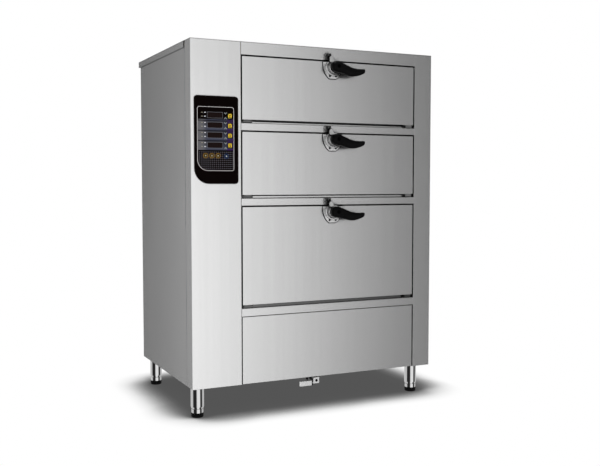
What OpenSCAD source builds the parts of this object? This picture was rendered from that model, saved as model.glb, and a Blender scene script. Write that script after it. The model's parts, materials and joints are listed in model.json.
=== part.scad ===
// Three-chamber seafood steamer cabinet: a sheet-steel casing with drop-down doors, a boiler and a control panel.
// The origin is on the floor, in the middle of the box round the whole cabinet. X runs right, Y back, Z up.

/* [Body] */
// Width of the front column that carries the controls
column_w = 226; // [215:1:280]
// Width of the three door openings
opening_w = 885; // [700:1:1100]
// Width of the plain front column on the right
stile_w = 92; // [80:1:160]
// Depth of the body from the front sheets to the back sheet
body_d = 794; // [720:1:1000]
// Height of the boiler compartment's front panel
base_h = 301; // [270:1:400]
// Height of the sill under the lower door
sill_h = 34; // [28:1:60]
// Height of the rails between the doors
rail_h = 30; // [28:1:60]
// Height of the rail above the upper door
top_rail_h = 55; // [40:1:90]
// Thickness of the steel sheet
sheet_t = 1.2; // [1:0.1:2]
// How far the front sheets fold round the sides and the top
return_d = 75; // [64:1:110]
// Width of the stiffening folds of the panels
fold_w = 20; // [16:1:24]
// Open seam between neighbouring sheets
seam = 2; // [0.6:0.1:3]
// Open gap on both sides of the boiler access panel
panel_gap = 4; // [2:0.5:6]

/* [Top cover] */
// How far the cover reaches past the back
cover_overhang = 32; // [20:1:60]
// Height of the cover's lip at the sides and the back
cover_lip_h = 27; // [24:1:40]
// Length of the notch at the front end of the side lips
notch_l = 11; // [6:1:16]

/* [Legs] */
// Height of the body above the floor
leg_h = 126; // [120:1:180]
// Diameter of the leg tubes
leg_d = 57; // [54:1:64]
// Distance of the front leg centres from the front
front_leg_y = 31; // [30:1:60]
// Distance of the front left leg centre from the left side
front_leg_x = 31; // [30:1:60]
// Distance of the rear left leg centre from the left side
rear_leg_x = 36; // [32:1:60]
// Distance of the right leg centres from the right side
right_leg_x = 85; // [32:1:120]
// Distance of the rear leg centres from the back
rear_leg_y = 98; // [32:1:120]
// Diameter of the collar at the bottom of each leg
collar_d = 51; // [46:1:56]
// Height of the collar at the bottom of each leg
collar_h = 17; // [14:1:30]
// Diameter of the feet
foot_d = 54; // [40:1:56]
// Height of the feet
foot_h = 20; // [12:1:24]
// Diameter of the feet's screw stems
foot_stem_d = 16; // [12:1:20]
// How far the feet screw out
foot_travel = 25; // [10:1:30]

/* [Openings] */
// Height of the upper door opening
upper_opening_h = 294; // [240:1:360]
// Height of the middle door opening
middle_opening_h = 296; // [240:1:360]
// Height of the lower door opening
lower_opening_h = 452; // [380:1:560]

/* [Doors] */
// Gap round the sides and top of each door
door_gap = 7; // [5:0.5:9]
// Gap under each door, where its hinges are
hinge_gap = 16; // [15:0.5:22]
// Thickness of the doors
door_t = 36; // [30:1:45]
// Width of the door gaskets
gasket_w = 14; // [10:1:16]
// Thickness of the door gaskets
gasket_t = 12; // [9:1:16]
// Distance of the gaskets from the edges of the doors
gasket_inset = 8; // [6:1:10]
// Distance of the chamber mouths from the edges of the doors
seal_land = 30; // [28:1:40]
// Height of the raised middle of the door liners
dish_h = 8; // [4:1:8]

/* [Hinges] */
// Diameter of the hinge pins
pin_d = 8; // [6:0.5:8]
// Outer diameter of the hinge knuckles
knuckle_d = 11; // [10.5:0.1:11]
// Length of the hinge knuckles
knuckle_l = 32; // [26:1:60]
// Thickness of the hinge bracket ears
ear_t = 6; // [4:1:8]
// Depth of the hinge axis behind the front sheets
hinge_y = 5; // [4:0.5:6]
// Thickness of the hinge leaves and bracket plates
hinge_plate_t = 2.5; // [2:0.1:2.5]

/* [Latches] */
// Distance of the latches to the right of the middle of the doors
latch_offset = 3; // [-50:1:50]
// Depth of the latch hubs below the top of the doors
latch_drop = 25; // [24:1:40]
// Thickness of the latch base plates
latch_plate_t = 4; // [3:0.5:6]
// Width of the latch base plates
latch_plate_w = 100; // [80:1:110]
// Length of the latch base plates below the hub
latch_plate_l = 50; // [44:1:60]
// Distance between the screws of the latch base plates
latch_screw_gap = 31; // [24:1:36]
// Height of the latch hubs above the door
hub_h = 20; // [18:1:26]
// Diameter of the latch hubs
hub_d = 60; // [52:1:60]
// Diameter of the latch spindles
spindle_d = 16; // [12:1:18]
// Thickness of the latch cams
cam_t = 10.5; // [8:0.5:12]
// Length of the cams' noses from the hub axis
cam_reach = 52; // [44:1:54]
// Diameter of the lever bosses
boss_d = 48; // [44:1:56]
// Length of the lever bosses along their axis
boss_l = 35; // [28:1:40]
// Length of the levers from the hub axis
lever_reach = 141; // [110:1:160]
// Thickness of the levers
lever_t = 22; // [16:1:26]

/* [Chambers] */
// Space behind the chambers for insulation and the vent pipe
rear_space = 90; // [84:1:120]
// Thickness of the insulation slabs
insulation_t = 40; // [25:1:42]
// Height of the lowest shelf above the chamber floor
shelf_z = 40; // [25:1:60]
// Height of the lower chamber's second shelf above the first
shelf_pitch = 165; // [120:1:200]
// Thickness of the shelves
shelf_t = 2; // [1.5:0.5:4]
// Width of the ledges that carry the shelves
ledge_w = 15; // [10:1:20]
// Width of the slots in the shelves
slot_w = 12; // [8:1:16]
// Width of the bars between the slots
slot_bar = 12; // [8:1:16]

/* [Boiler] */
// Depth of the boiler tank
tank_d = 490; // [400:1:560]
// Gap between the boiler tank and the sides of the door openings
tank_inset = 40; // [30:1:80]
// Height of the rails under the boiler tank
tank_foot_h = 30; // [20:1:40]
// Thickness of the boiler tank's wall
tank_t = 2; // [1.5:0.5:3]
// Diameter of the heating element tubes
element_d = 12; // [8:1:14]
// Length of the heating elements
element_l = 500; // [300:1:560]
// Size of the square heater flange
heater_flange = 130; // [120:1:150]

/* [Pipes] */
// Outer diameter of the steam pipes
steam_d = 28; // [22:1:30]
// Outer diameter of the vent pipe
vent_d = 34; // [28:1:40]
// Outer diameter of the drain pipe
drain_d = 26; // [22:1:28]
// Outer diameter of the water inlet's thread
inlet_d = 20.9; // [16:0.1:26]
// Wall of every pipe
pipe_t = 2; // [1.5:0.5:3]
// How far pipes stand out of the back
stub_l = 26; // [16:1:30]

/* [Drain valve] */
// Depth of the drain pipe's axis behind the front
drain_y = 50; // [48:1:70]
// Depth of the valve stem below the body
valve_drop = 22; // [20:1:36]
// Width of the square lever hub
valve_hub = 28; // [26:1:36]
// Length of the valve lever from its stem
valve_lever_l = 82; // [60:1:90]
// Height of the valve lever's grip
valve_grip_h = 22; // [16:1:28]
// Diameter of the threaded outlet
outlet_d = 18.6; // [15:0.1:20]

/* [Controls] */
// Distance of the control panel from the left side
panel_inset = 15; // [10:1:20]
// Width of the control panel
panel_w = 198; // [170:1:200]
// Height of the control panel
panel_h = 372; // [320:1:420]
// Height of the control panel above the bottom of the body
panel_z = 882; // [600:1:1000]
// Thickness of the control panel
panel_t = 2.5; // [2:0.5:4]
// Corner radius of the control panel
panel_r = 13; // [6:1:20]
// Radius of the control panel's bottom left corner
panel_big_r = 66; // [30:1:80]
// Width of the keys
key_w = 19; // [14:0.5:22]
// Height of the keys
key_h = 20.5; // [14:0.5:24]
// Distance between the keys
key_pitch = 42; // [34:1:50]
// Distance of the top key below the top of the panel
key_drop = 84; // [60:1:100]
// Distance of the keys from the right side of the panel
key_inset = 38; // [26:1:42]
// How far the keys stand out of the panel
key_rise = 1.2; // [1:0.1:2]
// How far the keys press in
key_travel = 0.6; // [0.4:0.1:0.8]

/* [Hidden] */
$fn = 64;

// Clearances: running fits of pins and stems, and the space between pieces that pass each other
fit_gap = 0.06;
pass_gap = 0.3;
key_gap = 0.4;
slack = 1;

// The casing
body_w = column_w + opening_w + stile_w;
x_l = -body_w / 2;
x_r = body_w / 2;
open_x0 = x_l + column_w;
open_x1 = open_x0 + opening_w;
z_b = leg_h;
lower_z0 = z_b + base_h + sill_h;
middle_z0 = lower_z0 + lower_opening_h + rail_h;
upper_z0 = middle_z0 + middle_opening_h + rail_h;
z_top = upper_z0 + upper_opening_h + top_rail_h;
open_z0 = [upper_z0, middle_z0, lower_z0];
open_h = [upper_opening_h, middle_opening_h, lower_opening_h];
ROWS = [0, 1, 2];

// The doors and the frame behind them
door_x0 = open_x0 + door_gap;
door_x1 = open_x1 - door_gap;
function open_z1(i) = open_z0[i] + open_h[i];
function door_z0(i) = open_z0[i] + hinge_gap;
function door_z1(i) = open_z1(i) - door_gap;
gasket_land = 4;
jamb_d = door_t + gasket_t + pass_gap;
flange_over = 8;

// How far above the lower edge of the cover's lip the notches in the sides start
notch_up = 5;

// The hinges
function hinge_z(i) = open_z0[i] + hinge_gap / 2;
knuckle_r = knuckle_d / 2;
strip_y = hinge_y + knuckle_r + slack + hinge_plate_t;
strip_h = hinge_gap / 2 + 5;
leaf_d = 24;
hinge_inset = 3;
hinge_plate_rise = 4;
hinge_x = [door_x0 + hinge_inset + ear_t, door_x1 - hinge_inset - ear_t - knuckle_l];

// The latches, with distances measured outwards from the door
latch_x = (open_x0 + open_x1) / 2 + latch_offset;
function latch_z(i) = door_z1(i) - latch_drop;
cam_z = hub_h + pass_gap;
boss_z = cam_z + cam_t;
lever_z = boss_z + (boss_l - lever_t) / 2;
front_reach = boss_z + boss_l;
spindle_back = 2;
lever_pin_l = boss_l / 2;
lever_pin_d = spindle_d - 2;
nose_angle = 120;
nose_w = 16;

// The lever's arm: it droops in a half wave, tapers, and turns up to a round tip
lever_top = -3;
lever_droop = 19;
lever_rise = 9;
lever_start_h = 24;
lever_end_h = 9.5;
lever_tip_r = 9;
lever_taper = 1.9;
lever_low_x = lever_reach * 0.62;
lever_steps = 28;
function lever_x(k) = lever_reach * sin(90 * k / lever_steps);
function lever_mid(x) = lever_top - (x < lever_low_x
    ? lever_droop * (1 - cos(180 * x / lever_low_x)) / 2
    : lever_droop - lever_rise * pow((x - lever_low_x) / (lever_reach - lever_low_x), 2));
function lever_cap(x) = x < lever_reach - lever_tip_r ? 1
    : sqrt(max(0, 1 - pow((x - lever_reach + lever_tip_r) / lever_tip_r, 2)));
function lever_half(x) =
    (lever_start_h - (lever_start_h - lever_end_h) * pow(x / lever_reach, lever_taper)) * lever_cap(x);

// The latch plates, their screws and the keepers
latch_plate_cut = 4;
latch_screw_d = 4;
latch_screw_head_d = 8;
latch_screw_head_h = 2;
latch_screw_l = 6;
latch_screw_edge = 11;
latch_screw_r = norm([latch_screw_gap / 2, latch_plate_l - latch_screw_edge]);
hub_skirt = 7;
flange_d = min(hub_d + 2 * hub_skirt, 2 * latch_screw_r - latch_screw_head_d - slack);
keeper_margin = 2;
keeper_x = latch_x + cam_reach * cos(nose_angle);
keeper_w = 32;
keeper_h = rail_h - 2 * keeper_margin;
keeper_t = 3;
keeper_ear_t = 3;
keeper_ear_reach = hub_h - slack;
keeper_ear_w = 18;
keeper_roller_d = 9;

// The chambers
mouth_x0 = door_x0 + seal_land;
mouth_x1 = door_x1 - seal_land;
function mouth_z0(i) = door_z0(i) + seal_land;
function mouth_z1(i) = door_z1(i) - seal_land;
chamber_y1 = body_d - rear_space;
side_insulation_t = seal_land - flange_over;
function shelf_levels(i) = i == 2 ? [shelf_z, shelf_z + shelf_pitch] : [shelf_z];
shelf_margin = 30;

// The boiler
tank_x0 = open_x0 + tank_inset;
tank_x1 = open_x1 - tank_inset;
tray_h = 40;
tank_front_gap = 6;
tank_y0 = fold_w + sheet_t + tank_front_gap;
tank_y1 = tank_y0 + tank_d;
tank_z0 = z_b + sheet_t + tank_foot_h;
tank_z1 = z_b + base_h - insulation_t;
tank_foot_w = 30;
heater_y = tank_y0 + tank_d / 2;
heater_lift = 10;
heater_z = tank_z0 + heater_flange / 2 + heater_lift;
heater_flange_t = 8;
heater_rim = 20;
heater_hole_d = heater_flange - 2 * heater_rim;
element_gap = 26;
element_bend = 13;
terminal_box_w = 70;
terminal_box_l = 36;
probe_x = tank_x0 + 130;
probe_y = tank_y0 + 150;
probe_d = 24;
probe_head_d = 40;
probe_head_h = 26;
probe_floor_gap = 60;
rod_d = 5;
rod_gap = 7;

// The steam, feed and vent pipes
riser_x = x_l + column_w / 2;
riser_part = 0.6;
riser_y = tank_y0 + tank_d * riser_part;
steam_out_z = tank_z1 - steam_d;
function inlet_z(i) = (mouth_z0(i) + mouth_z1(i)) / 2;
valve_l = 44;
valve_w = 34;
coil_d = 32;
coil_h = 42;
branch_l = 32;
vent_offset = 150;
vent_x = (open_x0 + open_x1) / 2 + vent_offset;
vent_gap = 4;
vent_y = chamber_y1 + insulation_t + vent_d / 2 + vent_gap;
vent_out_drop = 130;
vent_out_z = z_top - vent_out_drop;
vent_flange_t = 3;
vent_flange_w = 18;
feed_inset = 60;
feed_h = 130;
feed_x = tank_x0 + feed_inset;
feed_z = z_b + feed_h;
inlet_nut_d = inlet_d + 16;
inlet_nut_t = 8;
inlet_inner_l = 20;
feed_valve_y = body_d - sheet_t - inlet_inner_l - valve_l / 2;
branch_valve_x = riser_x + branch_l + valve_l / 2;
gland_left = 120;
gland_up = 60;
gland_x = feed_x - gland_left;
gland_z = feed_z + gland_up;
gland_bore_d = 15;
gland_hex_d = 34;
gland_thread_d = 25;
gland_hex_t = 10;
gland_dome_l = 15;
gland_nut_t = 6;

// The drain valve
valve_z = z_b - valve_drop;
valve_body_d = 34;
valve_end_d = 40;
valve_end_h = 12;
valve_body_h = valve_drop * 2 - 6;
stem_d = 10;
stem_l = 12;
stem_boss_d = 18;
valve_hub_t = 10;
valve_hub_y = drain_y - valve_end_d / 2 - valve_hub_t - slack;
valve_neck_l = 5;
valve_neck_h = 14;
valve_grip_t = 9;
valve_grip_drop = 10;

// The controls
panel_x0 = x_l + panel_inset;
panel_z0 = z_b + panel_z;
key_x = panel_x0 + panel_w - key_inset;
function key_z(k) = panel_z0 + panel_h - key_drop - (k - 1) * key_pitch;
key_flange = 2;
key_back = sheet_t + 4;
board_y = key_back + 8;
board_t = 1.6;
board_margin = 20;
board_post_d = 7;
switch_d = 7;
power_w = 95;
power_d = 140;
power_h = 220;
power_shift = 20;
power_lift = 160;
power_edge = 10;
power_y = body_d / 2 + power_shift;
power_z = z_b + base_h + power_lift;
rail_bar_t = 8;

// The screws
screw_d = 4;
screw_head_d = 10;
screw_head_h = 3;
keeper_screw_head_d = 6;
keeper_screw_edge = 3.4;
screw_rows = 5;
screw_l = 8;
slot_count = 12;
vent_slot_w = 120;
vent_slot_h = 6;
vent_slot_pitch = 16;

// The legs
leg_places = [
    [x_l + front_leg_x, front_leg_y], [x_r - right_leg_x, front_leg_y],
    [x_l + rear_leg_x, body_d - rear_leg_y], [x_r - right_leg_x, body_d - rear_leg_y]
];
stem_hold = 20;
leg_bore_d = foot_stem_d + 4 * fit_gap;
leg_plug_h = 2 * foot_travel + stem_hold;
foot_stem_l = foot_travel + stem_hold;
groove_h = 1.5;
taper_h = 8;

// The whole is centred front to back between the levers and the cover's overhang
y_mid = (body_d + cover_overhang - front_reach) / 2;

// A block between two corners
module block(a, b) translate(a) cube(b - a);

// A round bar from a point along one axis
function turn(axis) = axis == "x" ? [0, 90, 0] : axis == "y" ? [-90, 0, 0] : [0, 0, 0];
module rod(p, axis, l, d) translate(p) rotate(turn(axis)) cylinder(d = d, h = l);

// Moves the cabinet's own frame, with y = 0 on the front sheets, to the part's frame
module in_frame() translate([0, -y_mid, 0]) children();

// A place on the front, where the child's Z points outwards and its Y points up
module on_front(x, z) translate([x, 0, z]) rotate([90, 0, 0]) children();

// Points of an arc round a centre
function arc(c, r, a0, a1) = [for (k = [0:8]) c + r * [cos(a0 + (a1 - a0) * k / 8), sin(a0 + (a1 - a0) * k / 8)]];

// A rectangle with its bottom left corner at the origin and round corners, one of them larger
function round_panel(w, h, r, big) = concat(
    arc([big, big], big, 180, 270), arc([w - r, r], r, 270, 360),
    arc([w - r, h - r], r, 0, 90), arc([r, h - r], r, 90, 180));

// Front sheets

// A front column: its sheet, its fold round the side, its fold over the top and the jamb of the doors
module column(side_x, jamb_x) {
    x0 = min(side_x, jamb_x);
    x1 = max(side_x, jamb_x);
    out = side_x < jamb_x ? 1 : -1;
    block([x0, 0, z_b], [x1, sheet_t, z_top]);
    block([min(side_x, side_x + out * sheet_t), 0, z_b], [max(side_x, side_x + out * sheet_t), return_d, z_top]);
    jamb = [min(jamb_x, jamb_x - out * sheet_t), max(jamb_x, jamb_x - out * sheet_t)];
    block([jamb[0], 0, z_b], [jamb[1], fold_w, z_top]);
    block([jamb[0], 0, z_b + base_h], [jamb[1], jamb_d, z_top]);
    block([x0, 0, z_top - sheet_t], [x1, return_d, z_top]);
}

module key_holes(grow) {
    for (k = [1:4])
        on_front(key_x, key_z(k))
            translate([-key_w / 2 - grow, -key_h / 2 - grow, -sheet_t - slack])
                cube([key_w + 2 * grow, key_h + 2 * grow, sheet_t + panel_t + 2 * slack]);
}

module control_column() {
    color("gainsboro") in_frame() difference() {
        column(x_l, open_x0);
        key_holes(key_gap);
    }
}

module right_stile() {
    color("gainsboro") in_frame() column(x_r, open_x1);
}

// One rail: its front sheet, and folds running back to the chamber flanges
module rail(z0, z1, top_fold, bottom_fold) {
    block([open_x0 + seam, 0, z0], [open_x1 - fit_gap, sheet_t, z1]);
    block([open_x0, sheet_t, z1 - sheet_t], [open_x1, top_fold, z1]);
    block([open_x0, sheet_t, z0], [open_x1, bottom_fold, z0 + sheet_t]);
}

// The upright strip on a rail that carries the hinge brackets
module hinge_strip(z) block([open_x0, strip_y, z - sheet_t], [open_x1, strip_y + sheet_t, z + strip_h]);

module cross_rails() {
    color("gainsboro") in_frame() difference() {
        union() {
            rail(open_z1(0), z_top, return_d, jamb_d);
            for (i = [1, 2]) rail(open_z1(i), open_z0[i - 1], jamb_d, jamb_d);
            rail(z_b + base_h, lower_z0, jamb_d, fold_w);
            for (i = ROWS) hinge_strip(open_z0[i]);
        }
        keeper_screws(screw_d + 2 * fit_gap, 0);
    }
}

module lower_panel() {
    color("gainsboro") in_frame() difference() {
        block([open_x0 + panel_gap, 0, z_b + seam], [open_x1 - panel_gap, fold_w, z_b + base_h - seam]);
        block([open_x0 + panel_gap + sheet_t, sheet_t, z_b + seam + sheet_t],
              [open_x1 - panel_gap - sheet_t, fold_w + slack, z_b + base_h - seam - sheet_t]);
    }
}

// Casing

// A side sheet with folds at its front, back and top, notched at its front top corner; out is 1 on the left and -1 on
// the right
module side_panel(x, out) {
    skin = x + out * sheet_t;
    fold = x + out * (sheet_t + fold_w);
    y0 = return_d + seam;
    z1 = z_top - sheet_t;
    notch_z = z_top - cover_lip_h + notch_up;
    block([min(x, skin), y0, z_b], [max(x, skin), body_d, notch_z]);
    block([min(x, skin), y0 + notch_l, z_b], [max(x, skin), body_d, z1]);
    block([min(skin, fold), y0, z_b + tray_h], [max(skin, fold), y0 + sheet_t, z1]);
    block([min(skin, fold), body_d - 2 * sheet_t, z_b], [max(skin, fold), body_d - sheet_t, z1]);
    block([min(skin, fold), y0, z1 - sheet_t], [max(skin, fold), body_d - sheet_t, z1]);
}

module left_side_panel() {
    color("silver") in_frame() difference() {
        side_panel(x_l, 1);
        back_screws(screw_d + 2 * fit_gap, 0);
    }
}

module right_side_panel() {
    color("silver") in_frame() difference() {
        side_panel(x_r, -1);
        back_screws(screw_d + 2 * fit_gap, 0);
    }
}

// Places of the screws that hold the back, on both side folds
module back_screws(d, head_d) {
    z0 = z_b + tray_h + screw_head_d;
    step = (z_top - cover_lip_h - screw_head_d - z0) / (screw_rows - 1);
    for (x = [x_l + sheet_t + fold_w / 2, x_r - sheet_t - fold_w / 2])
        for (k = [0:screw_rows - 1])
            screw([x, body_d, z0 + k * step], 1, d, head_d);
}

// Places of the screws that hold the latch keepers, beside their ears
module keeper_screws(d, head_d) {
    for (i = ROWS)
        for (dx = [-1, 1])
            screw([keeper_x + dx * (keeper_w / 2 - keeper_screw_edge), -keeper_t,
                   open_z1(i) + rail_h - keeper_margin - 2 * keeper_screw_edge], -1, d, head_d);
}

// A screw whose head lies on y = p.y and points along out * Y
module screw(p, out, d, head_d) {
    translate(p) rotate([out > 0 ? -90 : 90, 0, 0]) {
        translate([0, 0, -screw_l]) cylinder(d = d, h = screw_l);
        if (head_d > 0) cylinder(d = head_d, h = screw_head_h);
    }
}

module panel_screws() {
    color("gray") in_frame() {
        back_screws(screw_d, screw_head_d);
        keeper_screws(screw_d, keeper_screw_head_d);
    }
}

module back_panel() {
    color("silver") in_frame() difference() {
        block([x_l + sheet_t, body_d - sheet_t, z_b], [x_r - sheet_t, body_d, z_top - sheet_t]);
        back_screws(screw_d + 2 * fit_gap, 0);
        rod([feed_x, body_d - 2 * sheet_t, feed_z], "y", 3 * sheet_t, inlet_d + 2 * fit_gap);
        rod([gland_x, body_d - 2 * sheet_t, gland_z], "y", 3 * sheet_t, gland_thread_d + 2 * fit_gap);
        rod([vent_x, body_d - 2 * sheet_t, vent_out_z], "y", 3 * sheet_t, vent_d - 2 * pipe_t);
        for (k = [0:slot_count - 1])
            translate([x_l + column_w / 2 - vent_slot_w / 2, body_d - 2 * sheet_t,
                       z_b + base_h + tray_h + k * vent_slot_pitch])
                cube([vent_slot_w, 3 * sheet_t, vent_slot_h]);
    }
}

module top_cover() {
    y0 = return_d + seam;
    y1 = body_d + cover_overhang;
    lip_x0 = x_l - sheet_t;
    lip_x1 = x_r + sheet_t;
    lip_z = z_top - cover_lip_h;
    color("silver") in_frame() {
        block([lip_x0, y0, z_top - sheet_t], [lip_x1, y1, z_top]);
        block([lip_x0, y0 + notch_l, lip_z], [x_l, y1, z_top]);
        block([x_r, y0 + notch_l, lip_z], [lip_x1, y1, z_top]);
        block([lip_x0, y1 - sheet_t, lip_z], [lip_x1, y1, z_top]);
    }
}

module base_tray() {
    x0 = x_l + sheet_t;
    x1 = x_r - sheet_t;
    y1 = body_d - 2 * sheet_t;
    color("silver") in_frame() difference() {
        block([x0, fold_w, z_b], [x1, y1, z_b + tray_h]);
        block([x0 + sheet_t, fold_w + sheet_t, z_b + sheet_t], [x1 - sheet_t, y1 - sheet_t, z_b + tray_h + slack]);
        rod([0, drain_y, z_b - slack], "z", sheet_t + 2 * slack, drain_d + 2 * pass_gap);
    }
}

// Chambers

// A chamber of bent sheets: each wall ends in a flange round the mouth, with the back and the ledges between them
module chamber(i) {
    x0 = mouth_x0;
    x1 = mouth_x1;
    z0 = mouth_z0(i);
    z1 = mouth_z1(i);
    y0 = jamb_d;
    t = sheet_t;
    g = fit_gap;
    flange_x0 = open_x0 - flange_over;
    flange_x1 = open_x1 + flange_over;
    back_y = chamber_y1 - t;
    color("lightgray") in_frame() difference() {
        union() {
            block([x0 - t, y0, z1], [x1 + t, back_y - g, z1 + t]);
            block([flange_x0, y0, z1], [flange_x1, y0 + t, open_z1(i) + flange_over]);
            block([x0 - t, y0, z0 - t], [x1 + t, back_y - g, z0]);
            block([flange_x0, y0, open_z0[i] - flange_over], [flange_x1, y0 + t, z0]);
            block([x0 - t, y0, z0 + g], [x0, back_y - g, z1 - g]);
            block([flange_x0, y0, z0 + g], [x0, y0 + t, z1 - g]);
            block([x1, y0, z0 + g], [x1 + t, back_y - g, z1 - g]);
            block([x1, y0, z0 + g], [flange_x1, y0 + t, z1 - g]);
            block([x0 - t, back_y, z0 - t], [x1 + t, chamber_y1, z1 + t]);
            for (level = shelf_levels(i)) {
                block([x0 + g, y0 + t, z0 + level - t], [x0 + ledge_w, back_y - g, z0 + level]);
                block([x1 - ledge_w, y0 + t, z0 + level - t], [x1 - g, back_y - g, z0 + level]);
            }
        }
        rod([x0 - 2 * t, riser_y, inlet_z(i)], "x", 3 * t, steam_d - 2 * pipe_t);
        rod([vent_x, chamber_y1 - 2 * t, inlet_z(i)], "y", 3 * t, vent_d - 2 * pipe_t);
    }
}

module upper_chamber() chamber(0);
module middle_chamber() chamber(1);
module lower_chamber() chamber(2);

// A slotted shelf that lies on the ledges, in two rows of slots
module shelf(z) {
    x0 = mouth_x0 + slack;
    y0 = jamb_d + sheet_t + shelf_margin;
    w = mouth_x1 - mouth_x0 - 2 * slack;
    d = chamber_y1 - 2 * sheet_t - y0;
    pitch = slot_w + slot_bar;
    count = floor((w - 2 * shelf_margin + slot_bar) / pitch);
    first = (w - count * pitch + slot_bar) / 2;
    slot_l = (d - 3 * shelf_margin) / 2;
    translate([x0, y0, z]) linear_extrude(shelf_t) difference() {
        square([w, d]);
        for (k = [0:count - 1])
            for (row = [0, 1])
                translate([first + k * pitch, shelf_margin + row * (slot_l + shelf_margin)]) square([slot_w, slot_l]);
    }
}

module shelves() {
    color("lightgray") in_frame()
        for (i = ROWS)
            for (level = shelf_levels(i)) shelf(mouth_z0(i) + level);
}

// Slabs round the chambers: over each one, under the lowest, and on both sides and the back of the stack
module insulation() {
    y0 = jamb_d + sheet_t + slack;
    y1 = chamber_y1;
    x0 = mouth_x0 - sheet_t;
    x1 = mouth_x1 + sheet_t;
    low = mouth_z0(2) - sheet_t - pass_gap;
    z0 = low - insulation_t;
    z1 = mouth_z1(0) + sheet_t + insulation_t;
    side_x0 = x0 - pass_gap;
    side_x1 = x1 + pass_gap;
    back_y = y1 + pass_gap;
    color("khaki") in_frame() difference() {
        union() {
            block([x0, y0, z0], [x1, y1, low]);
            for (i = ROWS) {
                z = mouth_z1(i) + sheet_t + pass_gap;
                block([x0, y0, z], [x1, y1, z + insulation_t - slack]);
            }
            block([side_x0 - side_insulation_t, y0, z0], [side_x0, y1, z1]);
            block([side_x1, y0, z0], [side_x1 + side_insulation_t, y1, z1]);
            block([x0, back_y, z0], [x1, back_y + insulation_t, z1]);
        }
        for (i = ROWS) {
            rod([side_x0 - side_insulation_t - slack, riser_y, inlet_z(i)], "x", side_insulation_t + 2 * slack,
                steam_d + 2 * pass_gap);
            rod([vent_x, y1, inlet_z(i)], "y", insulation_t + 2 * slack, vent_d + 2 * pass_gap);
        }
    }
}

// Boiler

module boiler_tank() {
    color("silver") in_frame() difference() {
        union() {
            block([tank_x0, tank_y0, tank_z0], [tank_x1, tank_y1, tank_z1]);
            for (x = [tank_x0 + 2 * tank_foot_w, tank_x1 - 3 * tank_foot_w])
                block([x, tank_y0, z_b + sheet_t], [x + tank_foot_w, tank_y1, tank_z0]);
        }
        block([tank_x0 + tank_t, tank_y0 + tank_t, tank_z0 + tank_t],
              [tank_x1 - tank_t, tank_y1 - tank_t, tank_z1 - tank_t]);
        rod([tank_x1 - 2 * tank_t, heater_y, heater_z], "x", 3 * tank_t, heater_hole_d);
        rod([tank_x0 - tank_t, riser_y, steam_out_z], "x", 3 * tank_t, steam_d - 2 * pipe_t);
        rod([probe_x, probe_y, tank_z1 - 2 * tank_t], "z", 3 * tank_t, probe_d + 2 * pass_gap);
        rod([0, drain_y, tank_z0 - tank_t], "z", 3 * tank_t, drain_d - 2 * pipe_t);
        rod([feed_x, tank_y1 - 2 * tank_t, feed_z], "y", 3 * tank_t, inlet_d - 2 * pipe_t);
    }
}

// One hairpin element that runs from the flange along -X, with its bend at the far end
module hairpin(y) {
    for (dz = [-element_bend, element_bend])
        rod([tank_x1 - element_l, y, heater_z + dz], "x", element_l + heater_flange_t / 2, element_d);
    translate([tank_x1 - element_l, y, heater_z]) rotate([90, 0, 0]) rotate([0, 0, 90])
        rotate_extrude(angle = 180) translate([element_bend, 0]) circle(d = element_d);
}

module heating_elements() {
    half = heater_flange / 2;
    box = terminal_box_w / 2;
    color("darkgray") in_frame() {
        block([tank_x1, heater_y - half, heater_z - half],
              [tank_x1 + heater_flange_t, heater_y + half, heater_z + half]);
        block([tank_x1, heater_y - box, heater_z - box],
              [tank_x1 + heater_flange_t + terminal_box_l, heater_y + box, heater_z + box]);
        for (k = [-1, 0, 1]) hairpin(heater_y + k * element_gap);
    }
}

module level_probe() {
    rod_l = tank_z1 - tank_z0 - probe_floor_gap;
    color("dimgray") in_frame() {
        rod([probe_x, probe_y, tank_z1], "z", probe_head_h, probe_head_d);
        rod([probe_x, probe_y, tank_z1 - 3 * tank_t], "z", 4 * tank_t, probe_d);
        for (dx = [-rod_gap, 0, rod_gap])
            rod([probe_x + dx, probe_y, tank_z1 - rod_l - dx], "z", rod_l + dx, rod_d);
    }
}

// A solenoid valve that lies along X or Y, with its coil on top and pipe seats at both ends
module solenoid_valve(p, axis) {
    size = axis == "x" ? [valve_l, valve_w, valve_w] : [valve_w, valve_l, valve_w];
    translate(p - size / 2) cube(size);
    rod(p + [0, 0, valve_w / 2], "z", coil_h, coil_d);
}

module solenoid_valves() {
    color("goldenrod") in_frame() {
        for (i = ROWS) solenoid_valve([branch_valve_x, riser_y, inlet_z(i)], "x");
        solenoid_valve([feed_x, feed_valve_y, feed_z], "y");
    }
}

// A pipe between two points on one axis, cut to a bore
module pipe(p, axis, l, d) {
    difference() {
        rod(p, axis, l, d);
        rod(p - (axis == "x" ? [1, 0, 0] : axis == "y" ? [0, 1, 0] : [0, 0, 1]), axis, l + 2, d - 2 * pipe_t);
    }
}

// The steam riser's outside, or its bore when cut is true
module riser_shape(d, extra) {
    top = inlet_z(0);
    rod([riser_x, riser_y, steam_out_z], "z", top - steam_out_z, d);
    translate([riser_x, riser_y, steam_out_z]) sphere(d = d);
    translate([riser_x, riser_y, top]) sphere(d = d);
    rod([riser_x, riser_y, steam_out_z], "x", tank_x0 - riser_x + extra, d);
    for (i = ROWS) rod([riser_x, riser_y, inlet_z(i)], "x", branch_l + extra, d);
}

// The vent riser's outside, or its bore
module vent_shape(d, extra) {
    low = inlet_z(2);
    rod([vent_x, vent_y, low], "z", vent_out_z - low, d);
    translate([vent_x, vent_y, low]) sphere(d = d);
    translate([vent_x, vent_y, vent_out_z]) sphere(d = d);
    for (i = ROWS) rod([vent_x, chamber_y1 - extra, inlet_z(i)], "y", vent_y - chamber_y1 + extra, d);
    rod([vent_x, vent_y, vent_out_z], "y", body_d - sheet_t - vent_y + extra, d);
}

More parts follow.
